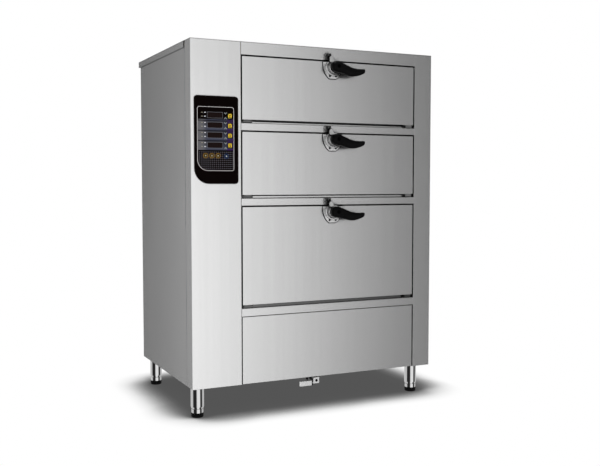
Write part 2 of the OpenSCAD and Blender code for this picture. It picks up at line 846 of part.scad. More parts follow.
module pipework() {
    pipe_x = branch_valve_x + valve_l / 2;
    color("lightsteelblue") in_frame() {
        difference() {
            riser_shape(steam_d, 0);
            riser_shape(steam_d - 2 * pipe_t, slack);
        }
        for (i = ROWS) pipe([pipe_x, riser_y, inlet_z(i)], "x", mouth_x0 - sheet_t - pipe_x, steam_d);
        difference() {
            vent_shape(vent_d, 0);
            vent_shape(vent_d - 2 * pipe_t, slack);
        }
        pipe([feed_x, tank_y1, feed_z], "y", feed_valve_y - valve_l / 2 - tank_y1, inlet_d);
        pipe([0, drain_y, valve_z + valve_body_h / 2], "z", tank_z0 - valve_z - valve_body_h / 2, drain_d);
    }
}

// The flanged stub on the back that carries the steam away
module vent_outlet() {
    color("silver") in_frame() difference() {
        union() {
            rod([vent_x, body_d, vent_out_z], "y", stub_l, vent_d);
            rod([vent_x, body_d, vent_out_z], "y", vent_flange_t, vent_d + 2 * vent_flange_w);
        }
        rod([vent_x, body_d - slack, vent_out_z], "y", stub_l + 2 * slack, vent_d - 2 * pipe_t);
    }
}

module water_inlet() {
    color("goldenrod") in_frame() difference() {
        union() {
            rod([feed_x, body_d - sheet_t - inlet_inner_l, feed_z], "y", sheet_t + inlet_inner_l + stub_l, inlet_d);
            translate([feed_x, body_d, feed_z]) rotate(turn("y")) cylinder(d = inlet_nut_d, h = inlet_nut_t, $fn = 6);
            translate([feed_x, body_d - sheet_t - inlet_nut_t, feed_z]) rotate(turn("y"))
                cylinder(d = inlet_nut_d, h = inlet_nut_t, $fn = 6);
        }
        rod([feed_x, body_d - sheet_t - inlet_inner_l - slack, feed_z], "y",
            sheet_t + inlet_inner_l + stub_l + 2 * slack, inlet_d - 3 * pipe_t);
    }
}

module cable_gland() {
    y_in = body_d - sheet_t - gland_nut_t;
    color("dimgray") in_frame() difference() {
        union() {
            rod([gland_x, y_in, gland_z], "y", gland_nut_t + sheet_t + gland_hex_t, gland_thread_d);
            translate([gland_x, body_d, gland_z]) rotate(turn("y")) cylinder(d = gland_hex_d, h = gland_hex_t, $fn = 6);
            translate([gland_x, y_in, gland_z]) rotate(turn("y")) cylinder(d = gland_hex_d, h = gland_nut_t, $fn = 6);
            translate([gland_x, body_d + gland_hex_t, gland_z]) rotate(turn("y"))
                cylinder(d1 = gland_thread_d + 2, d2 = gland_bore_d + 6, h = gland_dome_l);
        }
        rod([gland_x, y_in - slack, gland_z], "y",
            gland_nut_t + sheet_t + gland_hex_t + gland_dome_l + 2 * slack, gland_bore_d);
    }
}

// Drain valve

module drain_valve_body() {
    top = valve_z + valve_body_h / 2;
    bottom = valve_z - valve_body_h / 2;
    boss_y = valve_hub_y + valve_hub_t;
    color("silver") in_frame() difference() {
        union() {
            rod([0, drain_y, bottom], "z", valve_body_h, valve_body_d);
            for (z = [bottom, top - valve_end_h])
                translate([0, drain_y, z]) cylinder(d = valve_end_d, h = valve_end_h, $fn = 6);
            rod([0, boss_y, valve_z], "y", drain_y - boss_y, stem_boss_d);
        }
        rod([0, drain_y, bottom - slack], "z", valve_end_h + 2 + slack, outlet_d);
        rod([0, drain_y, top - valve_end_h], "z", valve_end_h + slack, drain_d - 2 * pipe_t);
        rod([0, boss_y - slack, valve_z], "y", stem_l + 2 * slack, stem_d + 2 * fit_gap);
    }
}

module drain_lever() {
    half = valve_hub / 2;
    grip_x = half + valve_neck_l;
    y0 = valve_hub_y;
    color("silver") in_frame() {
        block([-half, y0, valve_z - half], [half, y0 + valve_hub_t, valve_z + half]);
        block([-grip_x - 1, y0 + 1, valve_z - valve_neck_h / 2],
              [-half + 1, y0 + valve_hub_t - 3, valve_z + valve_neck_h / 2]);
        block([-valve_lever_l, y0, valve_z - valve_grip_drop - valve_grip_h / 2],
              [-grip_x, y0 + valve_grip_t, valve_z - valve_grip_drop + valve_grip_h / 2]);
        rod([0, y0 + valve_hub_t, valve_z], "y", stem_l, stem_d);
    }
}

// Controls

module control_panel() {
    color("black") in_frame() difference() {
        on_front(panel_x0, panel_z0) linear_extrude(panel_t)
            polygon(round_panel(panel_w, panel_h, panel_r, panel_big_r));
        key_holes(key_gap);
    }
}

// One key: a cap through the panel and the front sheet, with a flange behind the sheet
module key(k) {
    color("gold") in_frame() on_front(key_x, key_z(k)) {
        translate([-key_w / 2, -key_h / 2, -key_back]) cube([key_w, key_h, key_back + panel_t + key_rise]);
        translate([-key_w / 2 - key_flange, -key_h / 2 - key_flange, -key_back])
            cube([key_w + 2 * key_flange, key_h + 2 * key_flange, key_back - sheet_t - pass_gap]);
    }
}

module key_1() key(1);
module key_2() key(2);
module key_3() key(3);
module key_4() key(4);

module control_board() {
    x0 = panel_x0 + board_margin;
    x1 = panel_x0 + panel_w - board_margin / 2;
    z0 = panel_z0 + panel_big_r;
    z1 = panel_z0 + panel_h - board_margin;
    color("darkgreen") in_frame() {
        block([x0, board_y, z0], [x1, board_y + board_t, z1]);
        for (x = [x0 + board_post_d, x1 - board_post_d])
            for (z = [z0 + board_post_d, z1 - board_post_d])
                rod([x, sheet_t, z], "y", board_y - sheet_t + board_t / 2, board_post_d);
        for (k = [1:4])
            rod([key_x, key_back + key_travel + pass_gap / 2, key_z(k)], "y",
                board_y - key_back - key_travel, switch_d);
    }
}

module power_unit() {
    x0 = x_l + sheet_t;
    color("dimgray") in_frame() {
        block([x0, power_y, power_z], [x0 + rail_bar_t, power_y + power_d, power_z + power_h]);
        for (k = [0, 1, 2])
            block([x0, power_y + power_edge, power_z + power_edge + k * power_h / 3],
                  [x0 + power_w, power_y + power_d - power_edge, power_z - power_edge + (k + 1) * power_h / 3]);
    }
}

// Legs

// Half profile of a leg: the collar with its stem hole, a groove, a taper and the tube closed at the top
module leg_profile() {
    z0 = foot_h;
    z1 = foot_h + collar_h + groove_h;
    r = leg_d / 2;
    difference() {
        union() {
            translate([0, z0]) square([collar_d / 2, collar_h]);
            translate([0, z1 - groove_h]) square([collar_d / 2 - groove_h, groove_h]);
            polygon([[0, z1], [collar_d / 2, z1], [r, z1 + taper_h], [r, z_b], [0, z_b]]);
        }
        translate([0, z0 - slack]) square([leg_bore_d / 2, leg_plug_h + slack]);
        translate([0, z0 + leg_plug_h]) square([r - 2 * sheet_t, z_b - z0 - leg_plug_h - 2 * sheet_t]);
    }
}

module leg_tubes() {
    color("silver") in_frame()
        for (p = leg_places) translate([p.x, p.y, 0]) rotate_extrude() leg_profile();
}

// A foot with a rounded rim and its screw stem
module foot(n) {
    r = foot_d / 2;
    edge = foot_h / 4;
    rim = concat([[0, 0]], arc([r - edge, edge], edge, -90, 0), arc([r - edge, foot_h - edge], edge, 0, 90),
                 [[foot_stem_d / 2, foot_h], [foot_stem_d / 2, foot_h + foot_stem_l], [0, foot_h + foot_stem_l]]);
    color("black") in_frame() translate([leg_places[n].x, leg_places[n].y, 0]) rotate_extrude() polygon(rim);
}

module front_left_foot() foot(0);
module front_right_foot() foot(1);
module rear_left_foot() foot(2);
module rear_right_foot() foot(3);

// Doors

module door_skin(i) {
    color("gainsboro") in_frame() difference() {
        block([door_x0, 0, door_z0(i)], [door_x1, door_t, door_z1(i)]);
        block([door_x0 + sheet_t, sheet_t, door_z0(i) + sheet_t],
              [door_x1 - sheet_t, door_t + slack, door_z1(i) - sheet_t]);
        for (dx = [-1, 1])
            on_front(latch_x + dx * latch_screw_gap / 2, latch_screw_z(i))
                translate([0, 0, -2 * sheet_t]) cylinder(d = latch_screw_d + 2 * fit_gap, h = 3 * sheet_t);
    }
}

// The inner face of a door: a flat rim under the gasket and a raised middle
module door_liner(i) {
    x0 = door_x0 + sheet_t;
    x1 = door_x1 - sheet_t;
    z0 = door_z0(i) + sheet_t;
    z1 = door_z1(i) - sheet_t;
    rim = gasket_inset + gasket_w + gasket_land - sheet_t;
    y0 = door_t - sheet_t;
    color("lightgray") in_frame() difference() {
        union() {
            block([x0, y0, z0], [x1, door_t, z1]);
            block([x0 + rim, y0, z0 + rim], [x1 - rim, door_t + dish_h, z1 - rim]);
        }
        block([x0 + rim + sheet_t, y0 - slack, z0 + rim + sheet_t],
              [x1 - rim - sheet_t, door_t + dish_h - sheet_t, z1 - rim - sheet_t]);
    }
}

module door_gasket(i) {
    a = gasket_inset;
    b = gasket_inset + gasket_w;
    color("dimgray") in_frame() difference() {
        block([door_x0 + a, door_t, door_z0(i) + a], [door_x1 - a, door_t + gasket_t, door_z1(i) - a]);
        block([door_x0 + b, door_t - slack, door_z0(i) + b],
              [door_x1 - b, door_t + gasket_t + slack, door_z1(i) - b]);
    }
}

// Hinges

// The two leaves of a door: a knuckle on the hinge axis and a plate under the door
module hinge_leaves(i) {
    z_plate = door_z0(i) - hinge_plate_t;
    color("gray") in_frame() for (x = hinge_x) difference() {
        union() {
            rod([x, hinge_y, hinge_z(i)], "x", knuckle_l, knuckle_d);
            block([x, hinge_y - knuckle_r / 2, hinge_z(i)], [x + knuckle_l, hinge_y + knuckle_r / 2, door_z0(i)]);
            block([x, hinge_y - knuckle_r / 2, z_plate], [x + knuckle_l, leaf_d, door_z0(i)]);
        }
        rod([x - slack, hinge_y, hinge_z(i)], "x", knuckle_l + 2 * slack, pin_d + 2 * fit_gap);
    }
}

// The brackets on a rail: a plate on the strip, two ears and the pin between them
module hinge_bracket(x, i) {
    z = hinge_z(i);
    gap = pass_gap;
    plate_y = strip_y - hinge_plate_t;
    block([x - gap - ear_t, plate_y, open_z0[i]], [x + knuckle_l + gap + ear_t, strip_y, z + hinge_plate_rise]);
    for (ex = [x - gap - ear_t, x + knuckle_l + gap]) {
        rod([ex, hinge_y, z], "x", ear_t, knuckle_d);
        block([ex, hinge_y, z - knuckle_r], [ex + ear_t, plate_y + hinge_plate_t / 2, z + hinge_plate_rise]);
    }
    rod([x - gap - ear_t / 2, hinge_y, z], "x", knuckle_l + 2 * gap + ear_t, pin_d);
}

module hinge_brackets() {
    color("dimgray") in_frame()
        for (i = ROWS)
            for (x = hinge_x) hinge_bracket(x, i);
}

// Latches

function latch_screw_z(i) = latch_z(i) - latch_plate_l + latch_screw_edge;

// Outline of the base plate: half an ellipse that hangs from a straight top, cut flat at the bottom
module latch_outline() {
    top = latch_drop - keeper_margin;
    a = latch_plate_w / 2;
    b = latch_plate_l + top + latch_plate_cut;
    low = asin((latch_plate_l + top) / b);
    polygon(concat([for (k = [0:10]) [a * cos(low * k / 10), top - b * sin(low * k / 10)]],
                   [for (k = [10:-1:0]) [-a * cos(low * k / 10), top - b * sin(low * k / 10)]]));
}

module latch_base(i) {
    half = latch_screw_gap / 2;
    top = latch_drop - keeper_margin;
    color("silver") in_frame() on_front(latch_x, latch_z(i)) {
        difference() {
            union() {
                linear_extrude(latch_plate_t) latch_outline();
                intersection() {
                    cylinder(d = flange_d, h = (latch_plate_t + hub_h) / 2);
                    translate([-flange_d, top - 2 * flange_d, 0]) cube([2 * flange_d, 2 * flange_d, hub_h]);
                }
                cylinder(d = hub_d, h = hub_h);
            }
            translate([0, 0, spindle_back]) cylinder(d = spindle_d + 2 * fit_gap, h = hub_h);
            for (dx = [-half, half])
                translate([dx, latch_screw_z(i) - latch_z(i), -slack])
                    cylinder(d = latch_screw_d + 2 * fit_gap, h = latch_plate_t + 2 * slack);
        }
        for (dx = [-half, half])
            translate([dx, latch_screw_z(i) - latch_z(i), 0]) {
                translate([0, 0, latch_plate_t - latch_screw_l])
                    cylinder(d = latch_screw_d, h = latch_screw_l + latch_screw_head_h);
                translate([0, 0, latch_plate_t + fit_gap]) cylinder(d = latch_screw_head_d, h = latch_screw_head_h);
            }
    }
}

// The cam: a disc with a nose towards the keeper, the spindle behind it and the lever's pin in front
module latch_cam(i) {
    color("silver") in_frame() on_front(latch_x, latch_z(i)) {
        translate([0, 0, cam_z]) {
            cylinder(d = hub_d - 4, h = cam_t);
            rotate([0, 0, nose_angle]) translate([0, -nose_w / 2, 0]) cube([cam_reach - nose_w / 2, nose_w, cam_t]);
            rotate([0, 0, nose_angle]) translate([cam_reach - nose_w / 2, 0, 0]) cylinder(d = nose_w, h = cam_t);
        }
        translate([0, 0, spindle_back + pass_gap]) cylinder(d = spindle_d, h = cam_z - spindle_back);
        translate([0, 0, boss_z - slack]) cylinder(d = lever_pin_d, h = lever_pin_l + slack);
    }
}

module latch_lever(i) {
    color([0.1, 0.1, 0.1]) in_frame() on_front(latch_x, latch_z(i)) difference() {
        union() {
            translate([0, 0, boss_z]) cylinder(d = boss_d, h = boss_l);
            translate([0, 0, lever_z]) linear_extrude(lever_t) polygon(concat(
                [for (k = [0:lever_steps]) [lever_x(k), lever_mid(lever_x(k)) + lever_half(lever_x(k))]],
                [for (k = [lever_steps - 1:-1:0]) [lever_x(k), lever_mid(lever_x(k)) - lever_half(lever_x(k))]]));
        }
        translate([0, 0, boss_z - slack]) cylinder(d = lever_pin_d + 2 * fit_gap, h = lever_pin_l + 2 * slack);
    }
}

// The keepers on the rails: a plate, two ears and a roller between them
module latch_keepers() {
    color("silver") in_frame() for (i = ROWS) difference() {
        on_front(keeper_x, open_z1(i) + keeper_margin) {
            translate([-keeper_w / 2, 0, 0]) cube([keeper_w, keeper_h, keeper_t]);
            for (dx = [-keeper_ear_w / 2, keeper_ear_w / 2 - keeper_ear_t])
                translate([dx, 0, 0]) cube([keeper_ear_t, keeper_h, keeper_ear_reach]);
            translate([-keeper_ear_w / 2 + keeper_ear_t / 2, keeper_h / 2, keeper_ear_reach - keeper_roller_d / 2 - slack])
                rotate([0, 90, 0]) cylinder(d = keeper_roller_d, h = keeper_ear_w - keeper_ear_t);
        }
        keeper_screws(screw_d + 2 * fit_gap, 0);
    }
}

module upper_door_skin() door_skin(0);
module middle_door_skin() door_skin(1);
module lower_door_skin() door_skin(2);
module upper_door_liner() door_liner(0);
module middle_door_liner() door_liner(1);
module lower_door_liner() door_liner(2);
module upper_door_gasket() door_gasket(0);
module middle_door_gasket() door_gasket(1);
module lower_door_gasket() door_gasket(2);
module upper_hinge_leaves() hinge_leaves(0);
module middle_hinge_leaves() hinge_leaves(1);
module lower_hinge_leaves() hinge_leaves(2);
module upper_latch_base() latch_base(0);
module middle_latch_base() latch_base(1);
module lower_latch_base() latch_base(2);
module upper_latch_cam() latch_cam(0);
module middle_latch_cam() latch_cam(1);
module lower_latch_cam() latch_cam(2);
module upper_latch_lever() latch_lever(0);
module middle_latch_lever() latch_lever(1);
module lower_latch_lever() latch_lever(2);

control_column();
right_stile();
cross_rails();
lower_panel();
left_side_panel();
right_side_panel();
back_panel();
top_cover();
base_tray();
upper_chamber();
middle_chamber();
lower_chamber();
shelves();
insulation();
boiler_tank();
heating_elements();
level_probe();
pipework();
solenoid_valves();
drain_valve_body();
drain_lever();
vent_outlet();
water_inlet();
cable_gland();
control_board();
power_unit();
control_panel();
key_1();
key_2();
key_3();
key_4();
latch_keepers();
hinge_brackets();
panel_screws();
leg_tubes();
front_left_foot();
front_right_foot();
rear_left_foot();
rear_right_foot();
upper_door_skin();
upper_door_liner();
upper_door_gasket();
upper_hinge_leaves();
upper_latch_base();
upper_latch_cam();
upper_latch_lever();
middle_door_skin();
middle_door_liner();
middle_door_gasket();
middle_hinge_leaves();
middle_latch_base();
middle_latch_cam();
middle_latch_lever();
lower_door_skin();
lower_door_liner();
lower_door_gasket();
lower_hinge_leaves();
lower_latch_base();
lower_latch_cam();
lower_latch_lever();
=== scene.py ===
"""Looks of the seafood steamer cabinet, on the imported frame: camera, studio, finishes and the fine pieces."""
import json
import math

import bpy
import numpy as np
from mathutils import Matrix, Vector


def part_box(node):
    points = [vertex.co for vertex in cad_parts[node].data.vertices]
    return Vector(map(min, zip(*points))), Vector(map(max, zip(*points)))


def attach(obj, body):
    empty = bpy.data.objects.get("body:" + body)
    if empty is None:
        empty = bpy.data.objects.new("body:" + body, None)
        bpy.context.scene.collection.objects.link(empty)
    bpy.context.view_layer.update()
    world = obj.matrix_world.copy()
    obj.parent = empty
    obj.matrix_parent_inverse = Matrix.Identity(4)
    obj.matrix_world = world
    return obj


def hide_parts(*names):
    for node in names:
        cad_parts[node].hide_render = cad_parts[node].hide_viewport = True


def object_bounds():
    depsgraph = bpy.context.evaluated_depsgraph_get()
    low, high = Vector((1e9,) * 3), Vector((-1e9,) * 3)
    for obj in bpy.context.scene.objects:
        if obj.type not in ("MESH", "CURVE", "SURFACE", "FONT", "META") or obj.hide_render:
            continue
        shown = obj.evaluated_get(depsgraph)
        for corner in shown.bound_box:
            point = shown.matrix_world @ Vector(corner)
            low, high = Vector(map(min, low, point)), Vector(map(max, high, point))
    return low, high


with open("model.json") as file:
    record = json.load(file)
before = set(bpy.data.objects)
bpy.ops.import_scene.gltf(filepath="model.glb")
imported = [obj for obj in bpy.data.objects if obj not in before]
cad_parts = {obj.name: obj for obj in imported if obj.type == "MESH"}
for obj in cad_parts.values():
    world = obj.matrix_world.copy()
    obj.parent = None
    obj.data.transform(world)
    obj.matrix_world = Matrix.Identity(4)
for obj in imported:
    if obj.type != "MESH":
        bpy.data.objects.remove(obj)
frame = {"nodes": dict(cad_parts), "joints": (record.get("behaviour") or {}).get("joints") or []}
nodes = frame["nodes"]
cad_low, cad_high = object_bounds()
pivots = {joint["name"]: joint.get("pos_m") for joint in frame["joints"]}
front_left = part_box("control_column")[0]
ROWS = ("upper", "middle", "lower")
MM = 0.001

# Rows of the control panel, in millimetres: where the first one starts and how far apart they are
ROW_START = 59.6
ROW_PITCH = 42.5


def in_mm(metres):
    """A length in metres, a number or a shader value, as millimetres."""
    return metres * 1000.0


def grey(level):
    """An even grey of this level."""
    return (level, level, level)


# Shader maths

class Value:
    """An output socket of a shader tree; arithmetic on it adds Math nodes."""

    def __init__(self, tree, socket):
        self.tree = tree
        self.socket = socket

    def math(self, operation, *others):
        return self.tree.add("ShaderNodeMath", {"operation": operation}, [self, *others])

    def __add__(self, other):
        return self.math("ADD", other)

    def __sub__(self, other):
        return self.math("SUBTRACT", other)

    def __rsub__(self, other):
        return self.tree.add("ShaderNodeMath", {"operation": "SUBTRACT"}, [other, self])

    def __mul__(self, other):
        return self.math("MULTIPLY", other)

    def __truediv__(self, other):
        return self.math("DIVIDE", other)

    def __neg__(self):
        return self.math("MULTIPLY", -1.0)

    def __abs__(self):
        return self.math("ABSOLUTE")

    def least(self, other):
        return self.math("MINIMUM", other)

    def most(self, other):
        return self.math("MAXIMUM", other)

    def part(self):
        """The part after the decimal point."""
        return self.math("FRACT")

    def ramp(self, low, high):
        """0 below low, 1 above high, and a smooth step between."""
        return self.tree.add("ShaderNodeMapRange", {"interpolation_type": "SMOOTHSTEP"},
                             {"Value": self, "From Min": low, "From Max": high})

    def between(self, low, high, soft):
        """1 from low to high, with edges this soft."""
        return self.ramp(low - soft, low + soft) * (1.0 - self.ramp(high - soft, high + soft))

    __radd__ = __add__
    __rmul__ = __mul__


def length(u, v):
    """How long a flat step of u and v is."""
    return (u * u + v * v).math("SQRT")


class Tree:
    """A node tree with one way of adding any node."""

    def __init__(self, node_tree):
        self.nodes = node_tree.nodes
        self.links = node_tree.links

    def put(self, socket, value):
        """Links a shader value to a socket, or sets a plain one on it."""
        if isinstance(value, Value):
            self.links.new(value.socket, socket)
        else:
            socket.default_value = value

    def add(self, kind, settings=None, inputs=None, out=0):
        """Adds a node: its settings first, then its inputs by name or in order; returns one output."""
        node = self.nodes.new(kind)
        for key, value in (settings or {}).items():
            setattr(node, key, value)
        pairs = inputs.items() if isinstance(inputs, dict) else enumerate(inputs or ())
        for key, value in pairs:
            self.put(node.inputs[key], value)
        return Value(self, node.outputs[out])

    def split(self, vector):
        """The x, y and z of a vector."""
        return [self.add("ShaderNodeSeparateXYZ", None, [vector], i) for i in range(3)]

    def ray(self, kind):
        """1 for rays of this kind and 0 for others."""
        return self.add("ShaderNodeLightPath", None, None, kind)

    def mix(self, factor, a, b):
        """Colour a where factor is 0 and b where it is 1."""
        a, b = (c if isinstance(c, Value) else (*c, 1.0) for c in (a, b))
        node = self.nodes.new("ShaderNodeMix")
        node.data_type = "RGBA"
        for index, value in ((0, factor), (6, a), (7, b)):
            self.put(node.inputs[index], value)
        return Value(self, node.outputs[2])

    def noise(self, vector, scale, detail=3.0, roughness=0.5):
        return self.add("ShaderNodeTexNoise", None,
                        {"Vector": vector, "Scale": scale, "Detail": detail, "Roughness": roughness})

    def stretched(self, vector, scales):
        """Coordinates multiplied axis by axis, so that a noise runs into streaks."""
        return self.add("ShaderNodeMapping", None, {"Vector": vector, "Scale": scales})

    def table(self, value, low, high, stops):
        """A value read off a table of (place, level) stops, straight between them; levels are 0 to 2."""
        node = self.nodes.new("ShaderNodeValToRGB")
        ramp = node.color_ramp
        while len(ramp.elements) < len(stops):
            ramp.elements.new(1.0)
        for element, (place, level) in zip(ramp.elements, stops):
            element.position = (place - low) / (high - low)
            element.color = (*grey(level / 2), 1.0)
        self.put(node.inputs[0], (value - low) / (high - low))
        return Value(self, node.outputs[0]) * 2.0


class Finish(Tree):
    """A material with one Principled shader; constants are set on its own sockets."""

    def __init__(self, name, **constants):
        self.material = bpy.data.materials.new(name)
        self.material.use_nodes = True
        super().__init__(self.material.node_tree)
        self.shader = self.nodes["Principled BSDF"]
        self.drive(**constants)
        self.place = self.add("ShaderNodeTexCoord", None, None, "Object")

    def drive(self, **inputs):
        """Sets the shader's inputs: constants on its sockets, and links for what varies over the surface."""
        for key, value in inputs.items():
            self.put(self.shader.inputs[key.replace("_", " ")], value)

    def axes(self):
        """The x, y and z of the surface point, in metres."""
        return self.split(self.place)

    def crevice(self, reach):
        """1 on open faces and 0 deep in gaps and corners narrower than the reach."""
        return self.add("ShaderNodeAmbientOcclusion", {"samples": 8}, {"Distance": reach}, "AO")

    def swirl(self, scale=90.0):
        """The trace that polishing leaves."""
        return self.noise(self.place, scale, 4.0, 0.6)

    def relief(self, height, depth, edge=0.0):
        """A bump of the given depth in metres, over edges softened by a small radius."""
        inputs = {"Height": height, "Distance": depth, "Strength": 1.0}
        if edge:
            inputs["Normal"] = self.add("ShaderNodeBevel", {"samples": 4}, {"Radius": edge})
        self.drive(Normal=self.add("ShaderNodeBump", None, inputs))


# Finishes

STEEL = grey(0.66)
# Near black: the ink of black parts such as screw heads, and the colour of painted shade on latches and keepers
INK_AND_SHADE = grey(0.012)
UPRIGHT = (700.0, 700.0, 5.0)
ACROSS = (5.0, 700.0, 700.0)
BAND_SCALE = 0.06
# How dark the painted shade in gaps and corners of the sheets is, as a share of their tone
GAP_SHADE = 0.02
STREAK_DEPTH = 0.000008
SWIRL_DEPTH = 0.00001
SHEET_EDGE = 1.2 * MM
SMALL_EDGE = 0.8 * MM
FINE_EDGE = 0.6 * MM
CAST_EDGE = 1.0 * MM


def shades(tone, low, high):
    """A darker and a lighter shade of a tone."""
    return tuple(t * low for t in tone), tuple(min(1.0, t * high) for t in tone)


def brushed(name, streaks, tone, rough, gap=25 * MM, metal=0.92, clear=(0.3, 0.85), lines=None):
    """Brushed stainless sheet: fine streaks along the axis of low scale, broad faint bands, cloudy handling
    marks, and painted shade in gaps and corners where sheets nearly meet; lines, if given, adds painted bend
    and seam shade."""
    f = Finish(name, Metallic=metal)
    broad = tuple(s * BAND_SCALE for s in streaks)
    fine = f.noise(f.stretched(f.place, streaks), 1.0, 4.0, 0.65)
    band = f.noise(f.stretched(f.place, broad), 1.0, 2.0)
    cloud = f.noise(f.place, 5.0, 3.0)
    steel = f.mix(fine * 0.45 + band * 0.55, *shades(tone, 0.93, 1.07))
    open_face = f.crevice(gap).ramp(*clear)
    if lines:
        open_face = lines(f, open_face)
    # Painted shade: the colour darkens to near black in gaps and corners, by ambient occlusion
    f.drive(Base_Color=f.mix(open_face, tuple(t * GAP_SHADE for t in tone), steel))
    f.drive(Roughness=rough - 0.03 + fine * 0.04 + cloud * 0.02)
    f.relief(fine, STREAK_DEPTH, SHEET_EDGE)
    return f.material


def painted_bend_reflection(f, open_face):
    """A painted dark reflection along the bend at the top of the front sheets."""
    _, _, z = f.axes()
    _, _, upward = f.split(f.add("ShaderNodeNewGeometry", None, None, "True Normal"))
    rim = in_mm(z - cad_high.z).ramp(-4.0, -2.0) * (1.0 - abs(upward).ramp(0.5, 0.9))
    return open_face * (1.0 - rim * 0.5)


def side_painted_shade(f, open_face):
    """Painted shade on a side panel: a dark band behind the front column's fold, and a painted shadow under the
    cover's lip.
    """
    _, y, z = f.axes()
    fold = 1.0 - in_mm(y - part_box("left_side_panel")[0].y).ramp(3.0, 6.0)
    lip = in_mm(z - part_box("top_cover")[0].z).ramp(-7.0, -4.0)
    # Painted shade: darker behind the fold, and a painted shadow under the lip
    return open_face * (1.0 - fold * 0.22) * (1.0 - lip * 0.55)


def cover_painted_shade(f, open_face):
    """The painted dark reflection at the bend at the top of the lip, and painted shade on the inside of the hem
    behind the back.
    """
    x, y, z = f.axes()
    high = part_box("top_cover")[1]
    hem = in_mm(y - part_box("back_panel")[1].y).ramp(1.0, 2.0)
    for inward in (high.y - y, high.x - abs(x), high.z - z):
        hem = hem * in_mm(inward).ramp(0.4, 0.8)
    return painted_bend_reflection(f, open_face) * (1.0 - hem)


def panel_painted_shade(f, open_face):
    """Painted shade on the turned edges of the boiler access panel, along the gaps round it, broadest at the
    right.
    """
    low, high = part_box("lower_panel")
    x, _, z = f.axes()
    edge = in_mm(z - high.z).ramp(-2.0, -1.0)
    edge = edge.most(in_mm(x - high.x).ramp(-3.2, -2.0))
    edge = edge.most(in_mm(low.x - x).ramp(-1.6, -0.6))
    return open_face * (1.0 - edge * 0.9)


def rail_painted_light(f, open_face):
    """The strips behind the hinges, in painted light and shade: each has painted shade in its upper part and at
    its foot, with a light middle between, and the lowest one, seen from above, is painted in shade all over."""
    _, y, z = f.axes()
    strip = in_mm(y - front_left.y).between(11.0, 17.0, 0.5)
    level = 0.0
    # Painted light and shade on each strip: (row, lowest and highest mm from the hinge's axis, level)
    lights = (("upper", -5.0, -0.5, 0.95), ("middle", -4.5, 2.5, 0.95), ("lower", -9.0, 9.0, 0.2))
    for row, low, high, light in lights:
        v = in_mm(z - pivots[row + "_door_hinge"][2])
        level = v.between(low, high, 0.7) * light + level
    return painted_bend_reflection(f, open_face * (1.0 - strip) + level * strip)


def hinge_metal_painted_shade(name, left, right):
    """Turned hinge steel, with different tones painted at the left and at the right of the doors to stand in
    for how light and shade fall on each hinge.
    """
    f = Finish(name, Metallic=0.9)
    x, _, _ = f.axes()
    fine = f.noise(f.stretched(f.place, (40.0, 900.0, 900.0)), 1.0, 4.0, 0.65)
    tone = f.mix(x.ramp(-0.01, 0.01), grey(left), grey(right))
    f.drive(Base_Color=f.mix(fine * 0.2, tone, grey(0.0)), Roughness=0.4 + fine * 0.06)
    f.relief(fine, SWIRL_DEPTH, FINE_EDGE)
    return f.material


def plated(name, tone, rough, gap=8 * MM, depth=SWIRL_DEPTH):
    """Polished plating with a trace of polishing swirls, and painted shade in its corners; without roughness, a
    mirror.
    """
    f = Finish(name, Metallic=1.0, Roughness=rough)
    swirl = f.swirl()
    steel = f.mix(swirl, *shades(tone, 0.92, 1.04))
    open_face = f.crevice(gap).ramp(0.2, 0.75)
    # Painted shade: the colour darkens in corners, by ambient occlusion
    f.drive(Base_Color=f.mix(open_face, tuple(t * 0.04 for t in tone), steel))
    if rough:
        f.drive(Roughness=rough + (swirl - 0.5) * 0.06)
    f.relief(swirl, depth, SMALL_EDGE)
    return f.material


def moulded(name, tone, rough, grain=900.0, depth=0.00004, **more):
    """Moulded plastic or rubber: a fine even grain, and slightly paler wear where the mould polished it."""
    f = Finish(name, Metallic=0.0, **more)
    grit = f.noise(f.place, grain, 2.0)
    worn = f.noise(f.place, 25.0, 3.0)
    f.drive(Base_Color=f.mix(worn, *shades(tone, 0.8, 1.25)))
    f.drive(Roughness=rough + (worn - 0.5) * 0.15)
    f.relief(grit, depth, SMALL_EDGE)
    return f.material


def latch_metal(row):
    """Satin plating of a latch base, with its two screw heads black and painted shade in its creases."""
    screw_aside, screw_under = 15.5, 39.0
    hub = pivots[row + "_latch_turn"]
    f = Finish(row + "_latch_metal", Metallic=1.0)
    x, _, z = f.axes()
    u = abs(in_mm(x - hub[0])) - screw_aside
    v = in_mm(z - hub[2]) + screw_under
    head = 1.0 - length(u, v).ramp(4.8, 5.4)
    swirl = f.swirl()
    steel = f.mix(swirl, grey(0.76), grey(0.88))
    open_face = f.crevice(9 * MM).ramp(0.3, 0.85)
    # Screw heads black; the plate's creases darkened to the same black as painted shade
    f.drive(Base_Color=f.mix(head, f.mix(open_face, INK_AND_SHADE, steel), INK_AND_SHADE))
    f.drive(Roughness=0.26 + head * 0.2 + (swirl - 0.5) * 0.08)
    f.relief(swirl, SWIRL_DEPTH, CAST_EDGE)
    return f.material


def keeper_metal():
    """Satin keeper plates whose standing ears and roller are painted black, standing in for the shade between
    the ears.
    """
    f = Finish("keeper_metal", Metallic=1.0)
    _, y, _ = f.axes()
    ears = in_mm(front_left.y - y).ramp(3.4, 4.0)
    swirl = f.swirl()
    steel = f.mix(swirl, grey(0.54), grey(0.64))
    # Painted shade: the ears and roller are coloured near black
    f.drive(Base_Color=f.mix(ears, steel, INK_AND_SHADE))
    f.drive(Roughness=0.26 + ears * 0.16 + (swirl - 0.5) * 0.08)
    f.relief(swirl, SWIRL_DEPTH, FINE_EDGE)
    return f.material


